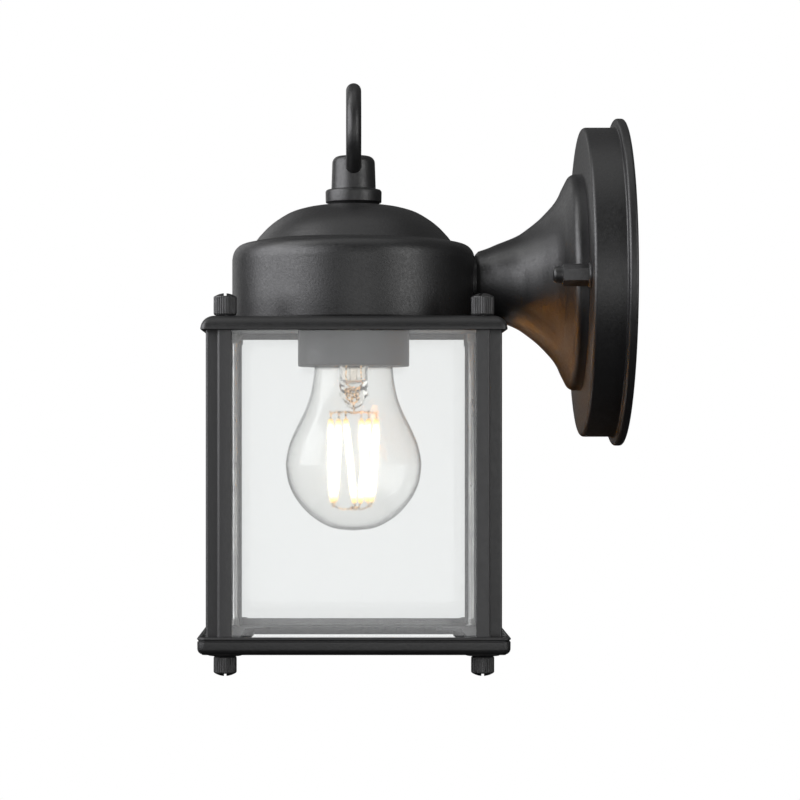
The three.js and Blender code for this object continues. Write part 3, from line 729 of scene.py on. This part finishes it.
def make_crossbar():
    """The strap on the wall box: a shallow folded channel with round-ended slots."""
    low, high = box_mm("crossbar")
    sheet = 1.6
    lip = high.z - sheet
    outline = rounded([
        (high.x, low.z, 1.9), (high.x, high.z, 1.9), (low.x, high.z, 0.4), (low.x, lip, 0.4),
        (-sheet, lip, 0.5), (-sheet, -lip, 0.5), (low.x, -lip, 0.4), (low.x, low.z, 0.4),
    ], steps=5)
    bar = prism_mesh(outline, low.y, high.y, ALONG_Y)
    cuts = [cylinder_mesh(SCREW_HOLE, -6, 1, at(0, y, 0, ABOUT_X)) for y in (-STUD_Y, STUD_Y, GROUND_Y)]
    cuts += [prism_mesh(slot_outline(14, 4.8), -6, 1, at(0, y, 0, ALONG_X)) for y in (-37, 37)]
    bar = ease_edges(cut_mesh(bar, cuts), 0.25, angle=60)
    piece("wall_strap", bar, "crossbar", "steel")


def slot_outline(length, width):
    """A round-ended slot, drawn lengthways along the first axis."""
    reach = (length - width) / 2
    return arc(reach, 0, width / 2, -90, 90, 10) + arc(-reach, 0, width / 2, 90, 270, 10)


def make_ground_screw():
    low, high = box_mm("ground_screw")
    place = at(0, GROUND_Y, 0, ABOUT_X)
    head = spun([
        (0, low.x, 0), (3.8, low.x, 1.5), (3.8, -1.9, 0.2), (0, -1.9, 0),
    ], place, steps=6)
    screw = cut_mesh(head, [threaded_rod(STUD, -2.6, high.x, place, pitch=0.8)], "UNION")
    slot = box_mesh((low.x - 1, GROUND_Y - 5, -0.5), (low.x + 1.2, GROUND_Y + 5, 0.5))
    piece("earth_screw", cut_mesh(screw, [slot]), "ground_screw", "green_steel")


def make_tie():
    """The hollow threaded tie and the two brass nuts on it."""
    low, high = box_mm("tie_nipple")
    rings = threaded_rings(low.x, high.x, TIE_RADIUS, 0.45, 1.0, per_turn=8)
    bore = [circle(3.8, z, 36) for z in (high.x, low.x)]
    tie = rings_mesh(rings + bore, ABOUT_X, loop=True)
    piece("threaded_tie", tie, "tie_nipple", "steel")
    for name in ("tie_nut_cap", "tie_nut_canopy"):
        low, high = box_mm(name)
        nut = hex_nut(14, TIE_RADIUS + 0.1, low.x, high.x, ABOUT_X)
        piece(f"{name}_brass", nut, name, "brass")


def make_wire_nut(side):
    """A ribbed twist-on connector, open at its mouth."""
    name = f"wire_nut_{side}"
    low, high = box_mm(name)
    middle = middle_mm(name)
    length = high.z - low.z
    facets = 96
    stations = [(5.1, 0, 0), (5.25, 0.4, 0), (5.4, 4.6, 0), (5.1, 5.6, 0.25), (4.4, length - 5, 0.4),
                (3.7, length - 1.4, 0.3), (3.1, length - 0.4, 0.1), (2.2, length, 0)]
    rings = [circle(3.2, 3, facets), circle(3.2, 0.2, facets), circle(3.5, 0, facets)]
    for radius, z, rib in stations:
        rings.append(circle(lambda a: radius - rib * (0.5 + 0.5 * math.cos(16 * a)), z, facets))
    cap = rings_mesh(rings, at(middle.x, middle.y, low.z))
    piece(f"wire_cap_{side}", cap, name, "orange_plastic")


# ---- roof cap, finial and ring
RING_AXIS = 51.6  # height of the ring's pivot
RING_ROD = 3.4  # radius of the ring's rod


def make_roof_cap():
    """Plain round wall, soft shoulder, shallow ledge and a low spun dome."""
    low, high = box_mm("roof_cap")
    shoulder = [(CAP_RADIUS, 9.0)] + curve_through([
        (CAP_RADIUS, 9.9), (53.9, 12.2), (53.0, 14.2), (51.4, 15.9), (49.3, 16.9), (46.6, 17.5),
    ], steps=4)
    crease = rounded([(46.6, 17.5, 0), (44.0, 17.95, 1.6), (42.1, 20.4, 0)], closed=False)[1:-1]
    dome = curve_through([
        (42.1, 20.4), (38.5, 24.2), (34.3, 27.6), (28.2, 31.2), (21.5, 33.3), (15.7, 34.3),
        (13.2, high.z - 0.2), (11.7, high.z),
    ], steps=5)
    skin = shoulder + crease + dome
    inside = sideways(skin, SHEET)[::-1]
    lower_edge = rounded([(CAP_RADIUS - SHEET, -5, 0), (CAP_RADIUS - SHEET, low.z, 0.4),
                          (CAP_RADIUS, low.z, 0.5), (CAP_RADIUS, -5, 0)], closed=False)
    outline = lower_edge + skin + [(STEM + CLEAR, high.z), (STEM + CLEAR, high.z - SHEET)]
    outline += [(11.0, high.z - SHEET)] + [p for p in inside if p[0] > 11.4]
    cap = turned_mesh(outline, ON_AXIS, 144)
    tie_hole = cylinder_mesh(TIE_RADIUS + CLEAR, 40, 60, at(AXIS_X, 0, 0, ABOUT_X))
    piece("roof", cut_mesh(cap, [tie_hole]), "roof_cap")


def make_finial():
    """Round collar and short post, cross-drilled for the ring, on a threaded stem."""
    low, high = box_mm("finial_hub")
    seat = box_mm("roof_cap")[1].z + 0.05
    hub = spun([
        (0, seat, 0), (11.2, seat, 0.2), (11.6, seat + 0.7, 0.3), (12.5, seat + 0.9, 0.8),
        (12.6, 41.6, 1.5), (9.95, 41.6, 0.4), (9.45, high.z, 3.2), (0, high.z, 0),
    ], ON_AXIS, steps=8, facets=96)
    stem = threaded_rod(STEM, low.z, seat + 1, ON_AXIS, pitch=1.0)
    across = at(AXIS_X, 0, RING_AXIS, ABOUT_Y)
    holes = [cylinder_mesh(RING_ROD + 0.12, a, b, across) for a, b in ((-20, -2.2), (2.2, 20))]
    finial = cut_mesh(cut_mesh(hub, [stem], "UNION"), holes)
    piece("finial", finial, "finial_hub")


def make_ring():
    """A round rod bent to an open ring, its ends turned in to pivot in the finial."""
    top = box_mm("hanging_ring")[1].z - RING_ROD
    bend = 18.5
    path = [(0, y, RING_AXIS) for y in (2.5, 6.0, 9.4)]
    path += [(0, y, z) for y, z in arc(0, top - bend, bend, -40, 220, 26)]
    path += [(0, -y, RING_AXIS) for y in (9.4, 6.0, 2.5)]
    ring = swept_mesh(curve_through(path, 4), RING_ROD, sides=40)
    piece("ring_rod", ease_edges(ring, 0.4, angle=70), "hanging_ring", body="ring")


def make_strap():
    """The bent strap that the finial's stem pulls up against the top plate, and its nut."""
    low, high = box_mm("socket_strap")
    sheet, leg = 1.5, 32
    foot = low.z + sheet
    half = [(leg, high.z - sheet, 0.9), (leg, low.z, 2.4), (high.y, low.z, 0.3), (high.y, foot, 0.3),
            (leg + sheet, foot, 0.9), (leg + sheet, high.z, 2.4)]
    outline = rounded(half + [(-y, z, r) for y, z, r in reversed(half)], steps=5)
    bar = prism_mesh(outline, -7, 7, at(AXIS_X, 0, 0, ALONG_X))
    bar = cut_mesh(bar, [cylinder_mesh(STEM + CLEAR, 0, 20, ON_AXIS)])
    piece("strap", ease_edges(bar, 0.25, angle=60), "socket_strap", "steel")
    low, high = box_mm("finial_lock_nut")
    nut = hex_nut(11, 3.1, low.z, high.z, ON_AXIS)
    piece("lock_nut", nut, "finial_lock_nut", "brass")


# ---- cage
CORNERS = ("back_wall", "back_outer", "front_outer", "front_wall")
ROD_AT = 55  # distance of each corner rod from the cage's axis, along X and Y
CORNER_SIGNS = ((1, 1), (-1, 1), (-1, -1), (1, -1))


def quarter_turns(count):
    """The cage's axis, turned for one of its four sides or corners."""
    return ON_AXIS @ Matrix.Rotation(math.radians(90 * count), 4, "Z")


def rod_places():
    return [at(AXIS_X + ROD_AT * x, ROD_AT * y, 0) for x, y in CORNER_SIGNS]


def make_top_plate():
    """Pressed square lid: quarter-round edge, turned-down skirt, round hole for the socket cup."""
    low, high = box_mm("top_plate")
    half, round_edge, wall = high.y, 5.8, 1.8
    underside = high.z - 3.5
    hole = box_mm("socket_cup")[1].y - 4.8
    stations = [(half - 0.3, 2.2, low.z), (half, 2.4, low.z + 0.3)]
    stations += [(h, 2.4, z) for h, z in arc(half - round_edge, high.z - round_edge, round_edge, 0, 90, 12)]
    stations += [(hole, hole, high.z), (hole, hole, underside), (half - wall, 1.6, underside),
                 (half - wall, 1.6, low.z + 0.2), (half - wall + 0.2, 1.7, low.z)]
    plate = rings_mesh(square_rings(stations), ON_AXIS, loop=True)
    cuts = [cylinder_mesh(SCREW_HOLE, low.z - 5, high.z + 5, place) for place in rod_places()]
    cuts += [box_mesh((AXIS_X - 7.3, y - 1.05, -30), (AXIS_X + 7.3, y + 1.05, 0))
             for y in (-32.75, 32.75)]  # for the strap's legs
    piece("lid", cut_mesh(plate, cuts), "top_plate", sharp=30)


def make_bottom_frame():
    """Shallow square tray with a scored line below its lip, an octagon window and four bosses."""
    low, high = box_mm("bottom_frame")
    half, top = high.y, high.z
    bottom = low.z + 0.8
    inner = half - 1.5
    web_top, web_bottom = top - 3.2, top - 4.7
    edge = 2.6  # radius of the tray's lower edge
    outside = [(h, 3.6, z) for h, z in arc(half - 0.15 - edge, bottom + edge, edge, -90, 0, 8)]
    scored = [(0.1, 2.15), (0.3, 1.95), (0.55, 1.7), (0.55, 1.45), (0.25, 1.2), (0, 0.95), (0, 0.6)]
    outside += [(half - inset, 4.0, top - drop) for inset, drop in scored]
    outside += [(half - 0.35, 3.8, top - 0.15), (half - 0.9, 3.4, top)]
    lip = [(inner + 0.2, 2.1, top), (inner, 2.0, top - 0.25), (inner, 2.0, web_top)]
    rings = square_rings(outside + lip)
    rings += [[(x, y, z) for x, y in octagon(50, 11.4)] for z in (web_top, web_bottom)]
    rings += square_rings([(inner - 0.6, 2.0, web_bottom), (inner - 0.6, 2.0, bottom)])
    tray = rings_mesh(rings, ON_AXIS, loop=True)
    boss = [(0, bottom - 0.8, 0), (7.2, bottom - 0.8, 0.5), (8.4, bottom + 0.3, 0.8),
            (8.4, web_bottom + 0.5, 0), (0, web_bottom + 0.5, 0)]
    bosses = [spun(boss, place) for place in rod_places()]
    tray = cut_mesh(tray, bosses, "UNION")
    holes = [cylinder_mesh(SCREW_HOLE, low.z - 3, top, place) for place in rod_places()]
    piece("tray", cut_mesh(tray, holes), "bottom_frame", sharp=30)


def make_corner_post(index, corner):
    """Folded sheet: two outer flanges and a square fold between them, with real bend radii."""
    name = f"corner_post_{corner}"
    low, high = box_mm(name)
    inner, outer, fold = 52, 63.2, 57.9
    deep = fold - SHEET
    outline = rounded([
        (inner, outer, 0.35), (inner, outer - SHEET, 0.35), (deep, outer - SHEET, 0.3), (deep, deep, 1.5),
        (outer - SHEET, deep, 0.3), (outer - SHEET, inner, 0.35), (outer, inner, 0.35), (outer, fold, 1.1),
        (fold, fold, 0.5), (fold, outer, 1.1),
    ], steps=5)
    post = prism_mesh(outline, low.z, high.z, quarter_turns(index))
    piece(f"post_{corner}", post, name)


def make_corner_rod(corner):
    name = f"corner_rod_{corner}"
    low, high = box_mm(name)
    middle = middle_mm(name)
    rod = threaded_rod(STUD, low.z, high.z, at(middle.x, middle.y, 0), threaded=14)
    piece(f"rod_{corner}", rod, name, "steel")


def make_cap_nut(corner, side):
    """Knurled round nut with a domed, slotted end."""
    name = f"{side}_nut_{corner}"
    low, high = box_mm(name)
    middle = middle_mm(name)
    height = high.z - low.z
    radius, crown, teeth, groove = 4.95, 1.6, 32, 0.26
    facets = teeth * 4
    curve = (radius ** 2 + crown ** 2) / (2 * crown)
    edge = height - crown

    def ring(r, z, depth):
        tooth = (0, 0.6, 1, 0.6)
        return circle(lambda a: r - depth * tooth[round(a * facets / (2 * math.pi)) % 4], z, facets)

    rings = [ring(SCREW_HOLE, height - 3.2, 0), ring(SCREW_HOLE, 0.2, 0)]
    rings += [ring(SCREW_HOLE + 0.2, 0, 0), ring(radius - 0.5, 0, 0)]
    rings += [ring(radius - 0.1, 0.4, groove * 0.5), ring(radius, 0.8, groove)]
    rings += [ring(radius, edge - 0.35, groove), ring(radius - 0.06, edge - 0.1, groove * 0.5)]
    rings.append(ring(radius - 0.2, edge + 0.1, 0))
    start = math.asin((radius - 0.25) / curve)
    for step in range(10):
        a = start * (1 - step / 10)
        rings.append(ring(curve * math.sin(a), height - curve + curve * math.cos(a), 0))
    flip = Matrix.Identity(4) if side == "top" else Matrix.Rotation(math.pi, 4, "X")
    seat = low.z if side == "top" else high.z
    place = at(middle.x, middle.y, seat) @ flip @ Matrix.Rotation(random.uniform(1.2, 2.0), 4, "Z")
    slot = box_mesh((-6, -0.6, height - 1.3), (6, 0.6, height + 1), place)
    nut = cut_mesh(rings_mesh(rings, place), [slot])
    piece(f"{side}_cap_nut_{corner}", nut, name, body=f"{side}_cap_{corner}", sharp=40)


def make_pane(index, side):
    """Plate glass, flat inside, with a wide polished bevel all round its outside face."""
    low, high = box_mm(f"glass_{side}")
    inside, edge, outside, half, bevel = 58.5, 61.4, 61.5, 56.3, 13.2
    eased = 0.25

    def frame_ring(x, inset):
        return [(x, inset - half, low.z + inset), (x, half - inset, low.z + inset),
                (x, half - inset, high.z - inset), (x, inset - half, high.z - inset)]

    rings = [frame_ring(inside, eased), frame_ring(inside + eased, 0), frame_ring(edge - 0.2, 0),
             frame_ring(edge, eased), frame_ring(outside, bevel)]
    pane = rings_mesh(rings, quarter_turns(index))
    piece(f"pane_{side}", pane, f"glass_{side}", "clear_glass", sharp=0.3)


# ---- socket
THREAD = 3.6  # pitch of the lamp's screw


def make_socket():
    low, high = box_mm("socket_cup")
    flange, radius, mouth = high.y, 24.9, 19.5
    seat = box_mm("top_plate")[1].z + 0.1
    cup = spun([
        (flange, seat, 0.3), (flange, high.z, 0.4), (radius - SHEET, high.z, 1.6),
        (radius - SHEET, low.z + SHEET, 0.4), (mouth, low.z + SHEET, 0.4), (mouth, low.z, 0.5),
        (radius, low.z, 0.7), (radius, seat, 0.4),
    ], ON_AXIS, steps=6, facets=ROUND)
    piece("holder_cup", cup, "socket_cup")
    body = spun([
        (0, 7, 0), (17, 7, 1.5), (17, -24, 2), (23.4, -26, 1), (23.4, -36.1, 0.8), (18.9, -36.1, 0.8),
        (14.5, -28.1, 0.8), (14.5, 4, 0.5), (0, 4, 0),
    ], ON_AXIS, steps=5, facets=ROUND)
    piece("holder_body", body, "socket_insulator", "porcelain")
    low, high = box_mm("socket_shell")
    outer = threaded_rings(low.z, high.z, 14.05, 0.45, THREAD, 72, 14, runout=2)
    inner = threaded_rings(low.z, high.z, 13.7, 0.45, THREAD, 72, 14, runout=2)[::-1]
    shell = rings_mesh(outer + inner, ON_AXIS, loop=True)
    piece("screw_shell", shell, "socket_shell", "brass")
    low, high = box_mm("socket_contact")
    tongue = spun([
        (0, low.z, 0), (3.4, low.z, 0.3), (4.9, high.z - 0.2, 0.1), (4.9, high.z, 0.1), (0, high.z, 0),
    ], ON_AXIS)
    piece("centre_contact", tongue, "socket_contact", "brass")


# ---- lamp
FILAMENT_TOP = box_mm("filament_pair_1")[1].z - 1.2
FILAMENT_BOTTOM = box_mm("filament_pair_1")[0].z + 3.2
FILAMENT_RADIUS = 1.2
FIRST_FILAMENT = 10  # degrees from +X to the first filament's top
PAIRS = 3
TOP_RING, BOTTOM_RING = 10.4, 9.6  # distance of the filaments' ends from the lamp's axis
CRINKLES = 5  # loops of wire caught in the press
WIRE_RADIUS = 0.3


def make_lamp_base():
    """Screw shell with a rolled thread, black glass insulator and soldered centre contact."""
    low, high = box_mm("lamp_base")
    inner = [(8.4, high.z - 1.2), (11.4, high.z - 4), (11.4, low.z), (13.0, low.z), (13.05, low.z + 2.6)]
    rings = [circle(r, z, 72) for r, z in inner]
    rings += threaded_rings(low.z + 3.2, high.z - 3.0, 13.0, 0.75, THREAD, 72, 18, runout=1.5)
    rings += [circle(r, high.z - drop, 72) for r, drop in ((11.9, 2.2), (10.4, 0.6), (9.2, 0))]
    piece("lamp_screw", rings_mesh(rings, ON_AXIS), "lamp_base", "steel", "lamp")
    low, high = box_mm("lamp_insulator")
    black = spun([(0, low.z, 0), (8.8, low.z, 0.3), (5.2, high.z, 0.6), (0, high.z, 0)], ON_AXIS)
    piece("lamp_bead", black, "lamp_insulator", "lamp_black_glass", "lamp")
    low, high = box_mm("lamp_contact")
    dot = spun([(0, low.z, 0), (4.2, low.z, 0.2), (3.6, high.z - 0.3, 0.8), (0, high.z, 0)], ON_AXIS)
    piece("lamp_dot", dot, "lamp_contact", "steel", "lamp")


def make_lamp_glass():
    low, high = box_mm("lamp_glass")
    outside = curve_through([
        (13.5, high.z), (15.7, -33.2), (17.4, -38.1), (18.1, -43.9), (19.5, -51.1), (22.2, -58.2),
        (25.8, -65.4), (28.8, -72.6), (30.2, -79.5), (30.2, -83.5), (28.9, -90.5), (25.0, -97.9),
        (18.3, -104.9), (9.8, -109.6), (0, low.z),
    ], steps=6)
    inside = sideways(outside, -0.5)
    inside[0] = (inside[0][0], high.z)
    inside[-1] = (0, low.z + 0.5)
    globe = turned_mesh(outside[::-1] + inside, ON_AXIS, 128)
    piece("lamp_globe", globe, "lamp_glass", "lamp_clear_glass", "lamp", sharp=60)


def make_lamp_stem():
    """The glass stem: a flared tube, softened, pinched flat and crinkled round the support wires."""
    low, high = box_mm("lamp_stem")
    press = -44.5  # the tube is round above this height and pressed below it
    phases = [(n, random.uniform(0, 6.28)) for n in (2, 3, 5, 7)]

    def stem_ring(radius, z):
        flat = min(1.0, max(0.0, (press - z) / 5))

        def swollen(a):
            wave = sum(math.sin(n * a + phase + 1.3 * (press - z)) / n for n, phase in phases)
            return radius * (1 + 0.16 * flat * wave)

        return [(x, y * (1 - 0.5 * flat), z) for x, y, _ in circle(swollen, z, 72)]

    outside = curve_through([
        (0.8, low.z), (2.8, low.z + 1.2), (4.3, low.z + 3.0), (5.6, low.z + 5.5), (6.2, low.z + 8.5),
        (6.3, -43), (6.35, -38.5), (7.6, -34.6), (10.6, -31.4), (11.6, high.z),
    ], steps=6)
    bore = curve_through([
        (10.8, high.z), (9.6, -31.0), (6.6, -34.2), (5.35, -38.5), (5.3, -42.4), (4.4, -44.2), (1.2, -44.8),
    ], steps=5)
    tube = rings_mesh([stem_ring(r, z) for r, z in outside + bore], ON_AXIS)
    exhaust = turned_mesh([(1.4, -44.4), (2.1, -44.4), (2.1, high.z), (1.4, high.z)], ON_AXIS, 32)
    glass = joined([tube, exhaust])
    piece("stem_glass", glass, "lamp_stem", "lamp_clear_glass", "lamp", 60, STEM_GLASS)


def lamp_point(ring, degrees, z):
    a = math.radians(degrees)
    return (ring * math.cos(a), ring * math.sin(a), z)


def make_filaments():
    """Six straight coated filaments in three V pairs, tops apart and bottoms nearly meeting."""
    for pair in range(PAIRS):
        start = FIRST_FILAMENT + 120 * pair
        rods = []
        for high_at, low_at in ((0, 22), (60, 38)):
            a = Vector(lamp_point(TOP_RING, start + high_at, FILAMENT_TOP))
            b = Vector(lamp_point(BOTTOM_RING, start + low_at, FILAMENT_BOTTOM))
            spots = [a.lerp(b, t) for t in (0, 0.012, 0.03, 0.5, 0.97, 0.988, 1)]
            radii = [FILAMENT_RADIUS * f for f in (0.55, 0.88, 1, 1, 1, 0.88, 0.55)]
            rods.append(swept_mesh(spots, radii))
        node = f"filament_pair_{pair + 1}"
        piece(f"filaments_{pair + 1}", joined(rods), node, "phosphor", "lamp", sharp=50)


def make_lamp_wires():
    """Support wires: two leads down the stem, a crinkled press, a spider above and links below."""
    level = FILAMENT_TOP + 2.6
    routes = [[(0, 0, -55.2), (0.2, 0, -57), (0, 0, level)]]
    for side in (-1, 1):
        lead = [(side * x, 0.4 * side, z) for x, z in ((3.2, -31), (3.3, -38), (3.4, -43.5))]
        lead += [(side * random.uniform(0.4, 3.4), random.uniform(-1.2, 1.2), z)
                 for z in (-45.8, -47.4, -49, -50.4, -51.8)]
        routes.append(lead + [(side * 0.6, 0, -53.4), (0, 0, -55.2)])
    for _ in range(CRINKLES):
        routes.append([(random.uniform(-1, 1) * reach, random.uniform(-1.2, 1.2), z)
                       for z, reach in zip((-46.4, -48.2, -50, -51.8, -53.6), (4.4, 4.2, 3.6, 2.6, 1.6))])
    for k in range(2 * PAIRS):
        start = FIRST_FILAMENT + 60 * k
        routes.append([(0, 0, level - 0.2), lamp_point(3.5, start, level + 0.5),
                       lamp_point(8.4, start, level + 0.35), lamp_point(TOP_RING - 0.3, start, level - 0.5),
                       lamp_point(TOP_RING, start, FILAMENT_TOP - 0.5)])
        routes.append([lamp_point(TOP_RING, start, level - 1.4),
                       lamp_point(TOP_RING + 0.15, start, level + 1.1)])
    hub = FILAMENT_BOTTOM - 2.6
    for pair in range(PAIRS):
        start = FIRST_FILAMENT + 120 * pair
        link = [lamp_point(BOTTOM_RING, start + turn, FILAMENT_BOTTOM + rise)
                for turn, rise in ((22, 0.6), (25, -1.6), (35, -1.6), (38, 0.6))]
        routes.append(link)
        routes.append([lamp_point(BOTTOM_RING, start + 30, FILAMENT_BOTTOM - 1.5),
                       lamp_point(5, start + 30, hub - 0.3), (0, 0, hub)])
    routes.append([(random.uniform(-1.5, 1.5), random.uniform(-1.5, 1.5),
                    hub + random.uniform(-0.7, 1.1)) for _ in range(11)])
    wires = [swept_mesh(curve_through(route, 4), WIRE_RADIUS, sides=8) for route in routes]
    piece("support_wires", joined(wires), "lamp_wires", "steel", "lamp", 50, GLINT_PAINTED_WIRE)


# ---- leads
def dress_lead(node, material):
    """A lead keeps its CAD tube, welded and rounded."""
    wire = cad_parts[node]
    wire.data.materials.clear()
    wire.data.materials.append(material)
    weld = wire.modifiers.new("weld", "WELD")
    weld.merge_threshold = 1e-5
    soften = wire.modifiers.new("soften", "SUBSURF")
    soften.levels = 1
    soften.render_levels = 1


# ---- build it
LOOKS = {  # the material of each slot
    "black_paint": powder_coat(),
    "steel": brushed_metal("zinc", (0.30, 0.30, 0.30), (0.46, 0.46, 0.45), 0.34, stretch=(1, 1, 0.2)),
    "brass": brushed_metal("brass", (0.46, 0.31, 0.10), (0.68, 0.50, 0.21), 0.3),
    "green_steel": brushed_metal("green_screw", (0.03, 0.16, 0.06), (0.06, 0.30, 0.12), 0.36, metallic=0.7),
    "porcelain": glazed_porcelain(),
    "orange_plastic": moulded_plastic("orange_cap", (0.62, 0.14, 0.03), 0.4),
    "foam": foam_rubber(),
    "clear_glass": pane_glass(),
    "lamp_clear_glass": blown_glass("lamp_glass", (0.985, 0.985, 0.975), ior=1.34, roughness=0.13),
    "lamp_black_glass": moulded_plastic("black_glass", (0.010, 0.008, 0.014), 0.14),
    "phosphor": glowing_phosphor(FILAMENT_BOTTOM * MM, FILAMENT_TOP * MM),
}
STEM_GLASS = blown_glass("stem_glass", (0.99, 0.97, 0.94), ior=1.24, roughness=0.03)
# support wire with a painted glowing highlight from the filaments
GLINT_PAINTED_WIRE = wire_with_painted_glints()
COPPER = brushed_metal("copper", (0.55, 0.22, 0.11), (0.78, 0.36, 0.20), stretch=(0.1, 1, 1))

make_canopy()
make_gasket()
make_arm()
make_crossbar()
make_ground_screw()
make_tie()
for side in ("front", "back"):
    make_acorn_nut(side)
    make_canopy_stud(side)
for side in ("hot", "neutral"):
    make_wire_nut(side)
dress_lead("lead_hot", moulded_plastic("black_wire", (0.013, 0.013, 0.014), 0.42))
dress_lead("lead_neutral", moulded_plastic("white_wire", (0.78, 0.76, 0.70), 0.42))
dress_lead("lead_ground", COPPER)

make_roof_cap()
make_finial()
make_ring()
make_strap()
make_top_plate()
make_bottom_frame()
for index, corner in enumerate(CORNERS):
    make_corner_post(index, corner)
    make_corner_rod(corner)
    make_cap_nut(corner, "top")
    make_cap_nut(corner, "bottom")
for index, side in enumerate(("wall", "back", "outer", "front")):
    make_pane(index, side)
make_socket()
make_lamp_base()
make_lamp_glass()
make_lamp_stem()
make_filaments()
make_lamp_wires()

add_camera()
add_world()
add_floor()
add_softbox("left_wide", -78, 19, 1.5, 1.5, 1.1, 21, COOL)
add_softbox("left_near", -44, 15, 1.5, 0.7, 1.1, 6.5, COOL)
add_softbox("left_rim", -150, 16, 1.5, 0.7, 1.1, 1.6)
add_softbox("front", 6, 0, 1.6, 0.9, 0.9, 3.1)
add_softbox("right", 50, 12, 1.5, 0.7, 1.2, 6.6)
add_softbox("upper_left", -88, 52, 1.5, 0.8, 0.8, 5.0)
add_softbox("top", 10, 84, 1.4, 1.2, 1.2, 2.4)
add_lamp_glow()

scene = bpy.context.scene
scene.view_settings.view_transform = "Standard"
scene.cycles.max_bounces = 18
scene.cycles.transmission_bounces = 16
scene.cycles.transparent_max_bounces = 24
